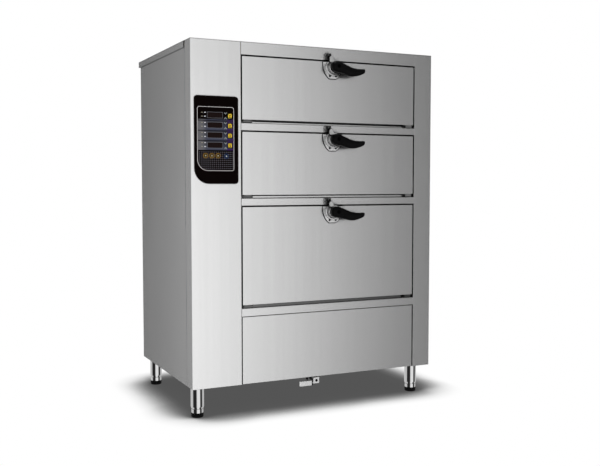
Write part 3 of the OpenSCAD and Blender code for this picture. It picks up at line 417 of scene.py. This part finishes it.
def valve_metal():
    """Satin plating of the drain lever, with painted shade black in the neck between grip and hub, and a black
    disc at the nut on the hub.
    """
    hub = pivots["drain_lever_turn"]
    f = Finish("valve_metal", Metallic=1.0)
    x, _, z = f.axes()
    u = in_mm(x - hub[0])
    v = in_mm(z - hub[2])
    neck = u.between(-24.0, -15.5, 0.4)
    nut = 1.0 - length(u, v).ramp(6.0, 7.0)
    swirl = f.swirl(70.0)
    steel = f.mix(swirl, grey(0.7), grey(0.84))
    # The neck between grip and hub is black as painted shade; the disc at the nut is black as well
    f.drive(Base_Color=f.mix(neck.most(nut), steel, grey(0.01)))
    f.drive(Roughness=0.24 + (swirl - 0.5) * 0.1)
    f.relief(swirl, SWIRL_DEPTH, CAST_EDGE)
    return f.material


def panel_frame(u, v):
    """How far outside the panel's frame line a point is, in millimetres: a rectangle with rounded corners, of
    which the lower left one is large."""
    middle_u, middle_v = 95.7, 181.4
    half_u, half_v = 81.9, 135.1
    small_corner, more_corner = 9.0, 38.0
    left = 1.0 - u.ramp(middle_u - 1, middle_u + 1)
    under = v.ramp(middle_v - 1, middle_v + 1)
    corner = small_corner + left * under * more_corner
    du = abs(u - middle_u) - half_u + corner
    dv = abs(v - middle_v) - half_v + corner
    return length(du.most(0.0), dv.most(0.0)) + du.most(dv).least(0.0) - corner


def panel_print():
    """The control panel's overlay in millimetres from its top left corner: satin black, a pale frame line, four
    rows with a grey-blue ground, pale marks and chevrons, and a field of fine dots under the rows."""
    low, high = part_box("control_panel")
    f = Finish("panel_print", Metallic=0.0, Specular_IOR_Level=0.02)
    x, _, z = f.axes()
    u = in_mm(x - low.x)
    v = in_mm(high.z - z)
    away = panel_frame(u, v)
    line = 1.0 - abs(away).ramp(0.65, 1.2)
    inside = 1.0 - away.ramp(-2.6, -1.6)

    row_v = ((v - ROW_START) / ROW_PITCH).part() * ROW_PITCH
    rows = v.between(61.0, 229.0, 0.3) * inside
    ground = v.between(99.0, 229.0, 0.4) * inside
    field = f.mix((row_v / ROW_PITCH).ramp(0.2, 1.0), (0.036, 0.037, 0.05), (0.06, 0.066, 0.1))
    field = f.mix((1.0 - u.ramp(30.0, 62.0)) * 0.8, field, (0.17, 0.165, 0.17))
    violet = f.mix(row_v.between(7.0, 36.0, 2.0), (0.055, 0.024, 0.12), (0.035, 0.022, 0.06))
    field = f.mix(u.ramp(144.0, 150.0), field, violet)
    field = f.mix(row_v.ramp(2.5, 5.5), (0.014, 0.013, 0.018), field)
    colour = f.mix(ground, (0.0022, 0.0005, 0.0003), field)

    window = u.between(57.3, 127.7, 0.3) * row_v.between(8.2, 34.2, 0.3)
    window_rim = window - u.between(58.6, 126.4, 0.3) * row_v.between(9.5, 32.9, 0.3)
    colour = f.mix(window_rim * rows, colour, (0.2, 0.2, 0.22))

    marks = row_v.between(9.5, 12.7, 0.4).most(row_v.between(25.8, 29.2, 0.4)) * rows
    colour = f.mix(marks * u.between(30.5, 38.0, 0.4) * 0.55, colour, (0.5, 0.46, 0.36))
    colour = f.mix(marks * u.between(44.0, 51.5, 0.4), colour, (0.78, 0.79, 0.84))

    across = abs(u - 140.0)
    upper = 1.0 - abs(row_v - 15.5 + across * 1.2).ramp(0.9, 1.8)
    lower = 1.0 - abs(row_v - 30.5 - across * 1.1).ramp(0.9, 1.8)
    arrows = upper.most(lower) * (1.0 - across.ramp(5.2, 5.9))
    colour = f.mix(arrows * rows, colour, (0.46, 0.49, 0.5))

    dot_u, dot_v = (((a / pitch).part() - 0.5) * pitch for a, pitch in ((u, 9.35), (v, 8.64)))
    dots = 1.0 - length(dot_u, dot_v).ramp(1.4, 2.2)
    colour = f.mix(dots * v.ramp(230.0, 232.0) * inside, colour, (0.2, 0.19, 0.22))
    colour = f.mix(line, colour, (0.72, 0.7, 0.7))

    worn = f.noise(f.place, 30.0, 3.0)
    f.drive(Base_Color=colour, Roughness=0.3 + (worn - 0.5) * 0.12)
    f.relief(line + window_rim * rows, 0.0001, FINE_EDGE)
    return f.material


def key_print():
    """Yellow keys with a dark sign in the middle of each: a stem between two bars."""
    pitch = 42.0
    low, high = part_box("key_1")
    middle = (low + high) / 2
    f = Finish("key_print", Metallic=0.0, Specular_IOR_Level=0.35)
    x, _, z = f.axes()
    u = abs(in_mm(x - middle.x))
    v = ((in_mm(middle.z - z) + pitch / 2) / pitch).part() * pitch - pitch / 2
    stem = (1.0 - u.ramp(1.9, 2.4)) * (1.0 - abs(v).ramp(5.2, 5.7))
    bars = (1.0 - u.ramp(4.6, 5.1)) * abs(v).between(3.6, 6.1, 0.3)
    sign = stem.most(bars)
    worn = f.noise(f.place, 60.0, 3.0)
    yellow = f.mix(worn, (0.9, 0.6, 0.02), (1.0, 0.72, 0.04))
    f.drive(Base_Color=f.mix(sign, yellow, (0.06, 0.024, 0.002)))
    f.drive(Roughness=0.34 + (worn - 0.5) * 0.1)
    f.relief(sign, 0.0002)
    return f.material


def ring_print(name, rim, face, sign):
    """A round key: a coloured rim, a dark face and a pale sign in the middle, by the share of its radius."""
    f = Finish(name, Metallic=0.0, Specular_IOR_Level=0.08)
    away = f.add("ShaderNodeAttribute", {"attribute_name": "away"}, None, "Fac")
    worn = f.noise(f.place, 80.0, 3.0)
    colour = f.mix(away.ramp(0.83, 0.85), face, rim)
    colour = f.mix(away.ramp(0.96, 0.98), colour, tuple(t * 0.1 for t in rim))
    colour = f.mix(away.ramp(0.2, 0.28), sign, colour)
    f.drive(Base_Color=colour, Roughness=0.36 + (worn - 0.5) * 0.12)
    f.relief(away.ramp(0.6, 0.7), 0.0003)
    return f.material


def window_glass():
    """Dark red-brown display windows, with unlit bars that just show."""
    bar_start, bar_pitch = 60.0, 8.0
    f = Finish("window_glass", Metallic=0.0, Specular_IOR_Level=0.05)
    x, _, _ = f.axes()
    u = in_mm(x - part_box("control_panel")[0].x)
    bars = ((u - bar_start) / bar_pitch).part().between(0.2, 0.75, 0.06)
    worn = f.noise(f.place, 40.0, 3.0)
    f.drive(Base_Color=f.mix(bars, (0.006, 0.002, 0.0018), (0.012, 0.0045, 0.004)))
    f.drive(Roughness=0.18 + worn * 0.08)
    f.relief(worn, 0.00002)
    return f.material


def sheet(name, streaks, clear=(0.5, 0.95), **more):
    """One of the casing's satin steel sheets."""
    return brushed(name, streaks, STEEL, 0.22, clear=clear, **more)


def wear(node, material):
    """Puts a material on a carried-over node."""
    mesh = nodes[node].data
    mesh.materials.clear()
    mesh.materials.append(material)


def of_rows(ending):
    """The names of one kind of node for all three doors."""
    return [row + ending for row in ROWS]


lever_black = moulded("lever_black", (0.0032, 0.0032, 0.0034), 0.38, Specular_IOR_Level=0.05)
cap_black = moulded("cap_black", (0.0006, 0.0006, 0.0007), 0.5, Specular_IOR_Level=0.02)
foot_black = moulded("foot_black", (0.004, 0.004, 0.0045), 0.6, Specular_IOR_Level=0.08)
key_yellow = key_print()

FINISHES = {
    sheet("sheet_upright", UPRIGHT): ["back_panel"],
    sheet("panel_sheet", UPRIGHT, lines=panel_painted_shade): ["lower_panel"],
    sheet("front_sheet", UPRIGHT, lines=painted_bend_reflection): ["control_column", "right_stile"],
    # Door sheets: their painted shade reaches 50 mm, so each latch gets a soft painted shadow round it
    sheet("door_sheet", UPRIGHT, gap=50 * MM, clear=(0.4, 0.9)): of_rows("_door_skin"),
    sheet("side_sheet", UPRIGHT, lines=side_painted_shade): ["left_side_panel", "right_side_panel"],
    sheet("rail_sheet", ACROSS, lines=rail_painted_light): ["cross_rails"],
    sheet("cover_sheet", ACROSS, lines=cover_painted_shade): ["top_cover"],
    brushed("under_sheet", ACROSS, grey(0.4), 0.6, metal=0.0): ["base_tray"],
    brushed("chamber_sheet", (260.0, 5.0, 260.0), (0.64, 0.64, 0.63), 0.34): [
        "upper_chamber", "middle_chamber", "lower_chamber", "shelves", "boiler_tank", *of_rows("_door_liner")],
    brushed("pipe_steel", (500.0, 500.0, 20.0), (0.55, 0.56, 0.57), 0.36): ["pipework", "vent_outlet"],
    brushed("element_steel", (30.0, 400.0, 400.0), (0.32, 0.3, 0.28), 0.5): ["heating_elements"],
    plated("leg_chrome", grey(0.62), 0.0, 3 * MM, 0.000004): ["leg_tubes"],
    plated("cam_steel", grey(0.62), 0.2, 6 * MM): of_rows("_latch_cam"),
    # Valve body: steel darkened almost to black as painted shade, for the shadow it sits in under the tray
    plated("valve_steel", grey(0.05), 0.35): ["drain_valve_body"],
    plated("screw_steel", grey(0.5), 0.3, 3 * MM): ["panel_screws"],
    plated("brass", (0.74, 0.55, 0.25), 0.3): ["solenoid_valves", "water_inlet"],
    keeper_metal(): ["latch_keepers"],
    valve_metal(): ["drain_lever"],
    # Copies of one hinge steel: the left and right tones are painted light and shade, darkest on the sill
    # hinges, which the door shades
    hinge_metal_painted_shade("hinge_ears", 0.22, 0.02): ["hinge_brackets"],
    hinge_metal_painted_shade("hinge_knuckles", 0.25, 0.36): ["upper_hinge_leaves", "middle_hinge_leaves"],
    hinge_metal_painted_shade("sill_knuckles", 0.25, 0.12): ["lower_hinge_leaves"],
    lever_black: of_rows("_latch_lever"),
    foot_black: ["front_left_foot", "front_right_foot", "rear_left_foot", "rear_right_foot"],
    moulded("gasket_grey", (0.035, 0.035, 0.037), 0.6, 300.0, 0.0001): of_rows("_door_gasket"),
    moulded("casing_black", (0.03, 0.03, 0.032), 0.5): ["level_probe", "cable_gland", "power_unit"],
    moulded("board_green", (0.03, 0.17, 0.07), 0.4, 700.0): ["control_board"],
    moulded("wool_yellow", (0.62, 0.52, 0.24), 0.95, 160.0, 0.0015): ["insulation"],
    key_yellow: ["key_1", "key_2", "key_3", "key_4"],
    panel_print(): ["control_panel"],
    **{latch_metal(row): [row + "_latch_base"] for row in ROWS},
}
for material, names in FINISHES.items():
    for name in names:
        wear(name, material)


# Fine pieces

def piece_of(name, points, faces, material):
    """A smooth piece made of points, in metres, and faces."""
    mesh = bpy.data.meshes.new(name)
    mesh.from_pydata(points.tolist(), [], faces)
    mesh.shade_smooth()
    mesh.materials.append(material)
    piece = bpy.data.objects.new(name, mesh)
    bpy.context.scene.collection.objects.link(piece)
    return piece


def skin(name, rings, material, away=None):
    """A closed surface from rings of points: ring k joins ring k + 1, and the first and last rings are drawn
    together to a pole at their mean. Each ring runs round once; away, if given, is one number for each ring."""
    count, around = rings.shape[:2]
    points = np.vstack([rings.reshape(-1, 3), rings[0].mean(0), rings[-1].mean(0)])
    k, j = np.meshgrid(np.arange(count - 1), np.arange(around), indexing="ij")
    start, ahead = k * around, (j + 1) % around
    quads = np.stack([start + j, start + ahead, start + around + ahead, start + around + j], -1).reshape(-1, 4)
    side = np.arange(around)
    turn = (side + 1) % around
    top, first_pole, last_pole = (count - 1) * around, count * around, count * around + 1
    caps = np.vstack([np.stack([turn, side, np.full(around, first_pole)], -1),
                      np.stack([top + side, top + turn, np.full(around, last_pole)], -1)])
    piece = piece_of(name, points, quads.tolist() + caps.tolist(), material)
    if away is not None:
        values = np.concatenate([np.repeat(away, around), [away[0], away[-1]]]).astype(np.float32)
        piece.data.attributes.new("away", "FLOAT", "POINT").data.foreach_set("value", values)
    return piece


def bow(angle, power):
    """Cosine and sine of a superellipse, which is squarer the higher the power."""
    c, s = np.cos(angle), np.sin(angle)
    return np.sign(c) * np.abs(c) ** (2 / power), np.sign(s) * np.abs(s) ** (2 / power)


def quarter(x, start, size):
    """1 up to start, then the height of a quarter circle that closes to 0 over the given size."""
    return np.sqrt(np.clip(1 - (np.clip(x - start, 0, size) / size) ** 2, 0, 1))


def lever(row):
    """The moulded latch lever. Seen from the front its outline is the union of a round boss and an arm that
    droops in a half wave and turns up to a round tip; across it, each section is a superellipse whose half
    thickness falls from the boss to the arm, and both ends close in a quarter ellipse."""
    boss, boss_half, boss_power, boss_round = 28.0, 24.5, 2.6, 7
    reach, tip = 141.0, 9.0
    dip, root_drop, droop, rise = 0.62 * reach, 3, 19, 9
    root_half, taper, taper_power = 24, 14.5, 1.9
    root_thick, slimmer, slim_start, slim_run = 16.4, 5.4, 8, 36
    stations, around, section_power = 120, 48, 2.4
    hub = pivots[row + "_latch_turn"]
    low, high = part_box(row + "_latch_lever")
    out = in_mm((low.y + high.y) / 2)

    x = -boss + (boss + reach) * (1 - np.cos(np.linspace(0.0, np.pi, stations))) / 2
    arm = np.clip(x, 0.0, reach)
    wave = droop * (1 - np.cos(np.pi * arm / dip)) / 2
    middle = -root_drop - np.where(arm < dip, wave, droop - rise * ((arm - dip) / (reach - dip)) ** 2)
    half = (root_half - taper * (arm / reach) ** taper_power) * quarter(arm, reach - tip, tip)
    round_boss = boss_half * np.clip(1 - np.abs(x / boss) ** boss_power, 0, None) ** (1 / boss_power)
    both = (x > 0) & (x < boss)
    upper = np.where(x <= 0, round_boss, middle + half)
    under = np.where(x <= 0, -round_boss, middle - half)
    upper = np.where(both, np.maximum(round_boss, upper), upper)
    under = np.where(both, np.minimum(-round_boss, under), under)

    slim = np.clip((x - slim_start) / slim_run, 0, 1)
    thick = root_thick - slimmer * slim * slim * (3 - 2 * slim)
    thick = thick * quarter(x, reach - tip, tip) * quarter(-x, boss - boss_round, boss_round)
    c, s = bow(np.linspace(0, 2 * np.pi, around, endpoint=False), section_power)
    rings = np.empty((stations, around, 3))
    rings[..., 0] = in_mm(hub[0]) + x[:, None]
    rings[..., 1] = out + thick[:, None] * s
    rings[..., 2] = in_mm(hub[2]) + (upper + under)[:, None] / 2 + (upper - under)[:, None] / 2 * c
    piece = skin(row + "_lever", rings[1:-1] * MM, lever_black)
    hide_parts(row + "_latch_lever")
    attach(piece, row + "_latch")
    cap_centre = (hub[0], (out - 15.6) * MM, hub[2])
    cushion(row + "_lever_cap", cap_centre, (8.5, 8.5), 1.4, 2.0, cap_black, row + "_latch", 2.0)


def cushion(name, centre, half, rise, power, material, body, base=0.3):
    """A low cushion on the front, a superellipse from above: rings grow from the middle, stay nearly level and
    fall over a rounded rim to a straight skirt."""
    level_rings, rim_rings, around, level_share = 18, 10, 64, 0.86
    middle_x, front_y, middle_z = centre
    rim = np.linspace(0.1, np.pi / 2, rim_rings)
    level = np.linspace(0.03, level_share, level_rings)
    grow = np.concatenate([level, level_share + (1 - level_share) * np.sin(rim)])
    fall = np.concatenate([np.ones(level_rings), np.cos(rim)])
    height = np.append(rise * (0.7 + 0.3 * fall) * (1 - 0.04 * grow ** 2), -base)
    grow = np.append(grow, 1.0)
    c, s = bow(np.linspace(0, 2 * np.pi, around, endpoint=False), power)
    rings = np.empty((len(grow), around, 3))
    rings[..., 0] = middle_x + half[0] * MM * grow[:, None] * c
    rings[..., 1] = front_y - height[:, None] * MM
    rings[..., 2] = middle_z - half[1] * MM * grow[:, None] * s
    piece = skin(name, rings, material, grow)
    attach(piece, body)
    return piece


def hoop(name, path, along, radius, material, body):
    """A closed bead: a circle of the given radius carried round a closed flat path on the front, where along is
    the place of the bead's middle from front to back."""
    ahead = np.roll(path, -1, 0) - np.roll(path, 1, 0)
    normal = np.stack([ahead[:, 1], -ahead[:, 0]], -1) / np.linalg.norm(ahead, axis=1)[:, None]
    angle = np.linspace(0, 2 * np.pi, 12, endpoint=False)
    flat = path[:, None] + radius * normal[:, None] * np.cos(angle)[None, :, None]
    depth = along - radius * np.sin(angle)[None] + 0 * flat[..., 0]
    points = np.stack([flat[..., 0], depth, flat[..., 1]], -1)
    count, around = points.shape[:2]
    k, j = np.meshgrid(np.arange(count), np.arange(around), indexing="ij")
    m, n = (k + 1) % count, (j + 1) % around
    faces = np.stack([k * around + j, k * around + n, m * around + n, m * around + j], -1).reshape(-1, 4)
    piece = piece_of(name, points.reshape(-1, 3), faces.tolist(), material)
    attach(piece, body)


def latch_shade_beads(row):
    """Black beads, painted shade round a latch plate: one under the rim of the plate, which is part of an
    ellipse, and two rings round its hub."""
    wide, tall, top, bottom = 50.5, 77.5, 22.5, 73.4
    hub = pivots[row + "_latch_turn"]
    centre = np.array([hub[0], hub[2]])
    angle = math.asin(bottom / tall) * np.linspace(0, 1, 25)
    right = np.stack([wide * np.cos(angle), top - tall * np.sin(angle)], -1)
    plate = np.vstack([right, right[::-1] * (-1, 1)])
    turn = np.linspace(0, 2 * np.pi, 72, endpoint=False)
    circle = np.stack([np.cos(turn), np.sin(turn)], -1)
    beads = [("_latch_rim_shade", plate, 1.2, 2.0), ("_hub_ring", 30.6 * circle, 13.0, 0.8),
             ("_cap_ring", 29.4 * circle, 19.6, 0.7)]
    for ending, path, out, radius in beads:
        hoop(row + ending, centre + path * MM, front_left.y - out * MM, radius * MM, foot_black, row + "_door")


def panel_pieces():
    """Display windows, yellow key caps and round start keys on the control panel."""
    window_u, window_v, key_lift = 92.5, 21.2, 1.4
    low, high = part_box("control_panel")
    glass = window_glass()
    for n in range(4):
        centre = (low.x + window_u * MM, low.y, high.z - (ROW_START + window_v + ROW_PITCH * n) * MM)
        cushion(f"display_window_{n + 1}", centre, (33.4, 11.2), 0.8, 9.0, glass, "cabinet")
    for n in range(1, 5):
        key_low, key_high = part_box(f"key_{n}")
        centre = ((key_low.x + key_high.x) / 2, low.y, (key_low.z + key_high.z) / 2 + key_lift * MM)
        cap = cushion(f"key_cap_{n}", centre, (7.6, 8.6), (low.y - key_low.y) / MM, 5.0, key_yellow,
                      f"key_{n}_body", 2.2)
        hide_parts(f"key_{n}")
    gold = ring_print("key_gold", (0.5, 0.28, 0.03), (0.002, 0.0014, 0.001), (0.85, 0.74, 0.5))
    blue = ring_print("key_blue", (0.03, 0.07, 0.2), (0.004, 0.009, 0.025), (0.75, 0.82, 0.9))
    start_keys = [(49.4, 253.0, gold), (77.4, 253.0, gold), (105.5, 253.0, gold), (143.3, 254.5, blue)]
    for n, (u, v, material) in enumerate(start_keys):
        centre = (low.x + u * MM, low.y, high.z - v * MM)
        cushion(f"start_key_{n + 1}", centre, (10.8, 10.8), 1.0, 2.0, material, "cabinet")


def valve_shade_pads():
    """Two black pads under the tray behind the drain lever's grip: painted shade standing in for the valve body
    in shadow there.
    """
    behind_hub, into_tray = 17, 1
    hub = pivots["drain_lever_turn"]
    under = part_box("base_tray")[0].z
    for n, (u, wide, tall) in enumerate([(-34.0, 3.2, 11.2), (-14.0, 9.0, 9.8)]):
        centre = (hub[0] + u * MM, hub[1] + behind_hub * MM, under - (tall - into_tray) * MM)
        cushion(f"valve_shade_pad_{n + 1}", centre, (wide, tall), 2.0, 6.0, cap_black, "cabinet", 8.0)


for row in ROWS:
    lever(row)
    latch_shade_beads(row)
panel_pieces()
valve_shade_pads()


# Studio

# Stops of (degrees to the right of straight ahead of the front, level)
SOFT_RING = [
    (-180, 0.7), (-176, 0.45), (-171, 0.0), (-164.5, 0.0), (-154, 1.05), (-130, 0.85), (-98, 0.75), (-60, 0.6),
    (-40, 0.85), (-25, 1.1), (-14, 1.2), (3, 1.3), (11, 1.62), (16, 1.6), (34, 0.1), (39, 0.1), (52, 0.55),
    (75, 0.65), (120, 0.75), (150, 0.9), (165, 0.9), (180, 0.7)]
SHARP_RING = [
    (-180, 0.8), (-99, 0.8), (-94, 0.03), (-33, 0.03), (-25, 0.95), (-15, 1.15), (20, 1.2), (30, 1.0),
    (36, 0.03), (68, 0.03), (78, 0.7), (180, 0.8)]
# Stops of (how open a point of the floor is, level)
FLOOR_SHADE = [
    (0.3, 0.09), (0.53, 0.095), (0.64, 0.125), (0.68, 0.165), (0.726, 0.24), (0.768, 0.355), (0.812, 0.5),
    (0.852, 0.67), (0.886, 0.81), (0.92, 0.9), (0.948, 0.96), (0.97, 1.0)]


def studio_world():
    """White to the camera. Satin sheets reflect a soft ring that is bright in front, dark on the right of the
    front and pale elsewhere; the mirror-bright legs reflect a ring of their own, with dark gaps between its
    screens. Everything else is lit by a plain sky that is brightest near the floor."""
    world = bpy.data.worlds.new("studio")
    world.use_nodes = True
    bpy.context.scene.world = world
    t = Tree(world.node_tree)
    x, y, z = t.split(t.add("ShaderNodeTexCoord", None, None, "Generated"))
    turn = x.math("ARCTAN2", -y) * (180 / math.pi)
    soft = t.table(turn, -180, 180, SOFT_RING)
    soft = soft * (1.0 - z.ramp(-0.04, 0.22) * 0.2) * (0.62 + z.ramp(-0.5, -0.27) * 0.38)
    sharp = t.table(turn, -180, 180, SHARP_RING)
    mirror = t.ray("Is Singular Ray")
    ring = soft * (1.0 - mirror) + sharp * mirror
    high = z.ramp(0.25, 0.42)
    zenith = z.ramp(0.72, 0.92)
    ring = ring * (1.0 - high) + high * (0.12 + zenith * 0.75)
    sky = 0.05 + z.ramp(0.2, 0.85) * 0.28 + (1.0 - z.ramp(0.08, 0.2)) * 1.8
    camera_ray, glossy_ray = t.ray("Is Camera Ray"), t.ray("Is Glossy Ray")
    level = ring * glossy_ray + sky * (1.0 - glossy_ray)
    level = level * (1.0 - camera_ray) + camera_ray
    t.put(t.nodes["Background"].inputs["Color"], t.add("ShaderNodeCombineXYZ", None, [level, level, level]))


def floor_paint(name, shaded):
    """White floor: the camera sees it white, or shaded by how open each point is; reflections pass through."""
    material = bpy.data.materials.new(name)
    material.use_nodes = True
    material.cycles.emission_sampling = "NONE"
    t = Tree(material.node_tree)
    t.nodes.remove(t.nodes["Principled BSDF"])
    paint = t.add("ShaderNodeBsdfDiffuse", None, {"Color": (*grey(0.95), 1.0)})
    level = (*grey(1.0), 1.0)
    if shaded:
        lean = t.add("ShaderNodeCombineXYZ", None, [-0.13, -0.09, 1.0])
        inputs = {"Distance": 0.25, "Normal": lean}
        openness = t.add("ShaderNodeAmbientOcclusion", {"samples": 64}, inputs, "AO")
        level = t.table(openness, 0.0, 1.0, FLOOR_SHADE)
    seen = t.add("ShaderNodeEmission", None, {"Color": level})
    solid = t.add("ShaderNodeMixShader", None, [t.ray("Is Camera Ray"), paint, seen])
    clear = t.add("ShaderNodeBsdfTransparent")
    both = t.add("ShaderNodeMixShader", None, [t.ray("Is Glossy Ray"), solid, clear])
    t.put(t.nodes["Material Output"].inputs["Surface"], both)
    return material


def studio_floor():
    """A wide white floor in nine sheets, of which the middle one carries the cabinet's shade."""
    reach, wide, middle = 0.3, 40.0, 4
    xs = (-wide, cad_low.x - reach, cad_high.x + reach, wide)
    ys = (-wide, cad_low.y - reach, cad_high.y + reach, wide)
    points = [(x, y, 0.0) for y in ys for x in xs]
    corners = [i + 4 * j for j in range(3) for i in range(3)]
    mesh = bpy.data.meshes.new("floor")
    mesh.from_pydata(points, [], [(c, c + 1, c + 5, c + 4) for c in corners])
    mesh.materials.append(floor_paint("floor_white", False))
    mesh.materials.append(floor_paint("floor_near", True))
    mesh.polygons[middle].material_index = 1
    floor = bpy.data.objects.new("floor", mesh)
    bpy.context.scene.collection.objects.link(floor)


def sun(name, strength, angle, tilt):
    """A distant lamp of this strength and breadth; the angle and the tilt are in degrees."""
    lamp = bpy.data.lights.new(name, "SUN")
    lamp.energy = strength
    lamp.angle = math.radians(angle)
    holder = bpy.data.objects.new(name, lamp)
    holder.rotation_euler = tuple(math.radians(a) for a in tilt)
    bpy.context.scene.collection.objects.link(holder)


def camera():
    """The photograph's own camera, found from the cabinet's edges in it, placed from the front left corner."""
    sensor, photo_wide, focal_pixels = 36.0, 600, 846.65
    pitch_down, yaw_right = 3.411, 25.418
    lens = bpy.data.cameras.new("camera")
    lens.sensor_width = sensor
    lens.sensor_fit = "HORIZONTAL"
    lens.lens = sensor * focal_pixels / photo_wide
    holder = bpy.data.objects.new("camera", lens)
    holder.location = front_left + Vector((-1.120, -3.427, 0.887))
    holder.rotation_euler = (math.radians(90 - pitch_down), 0.0, math.radians(-yaw_right))
    bpy.context.scene.collection.objects.link(holder)
    bpy.context.scene.camera = holder


studio_world()
studio_floor()
sun("overhead", 3.0, 4.0, (-3.2, 3.8, 0.0))
camera()
bpy.context.scene.view_settings.view_transform = "Standard"
bpy.context.scene.cycles.caustics_reflective = False
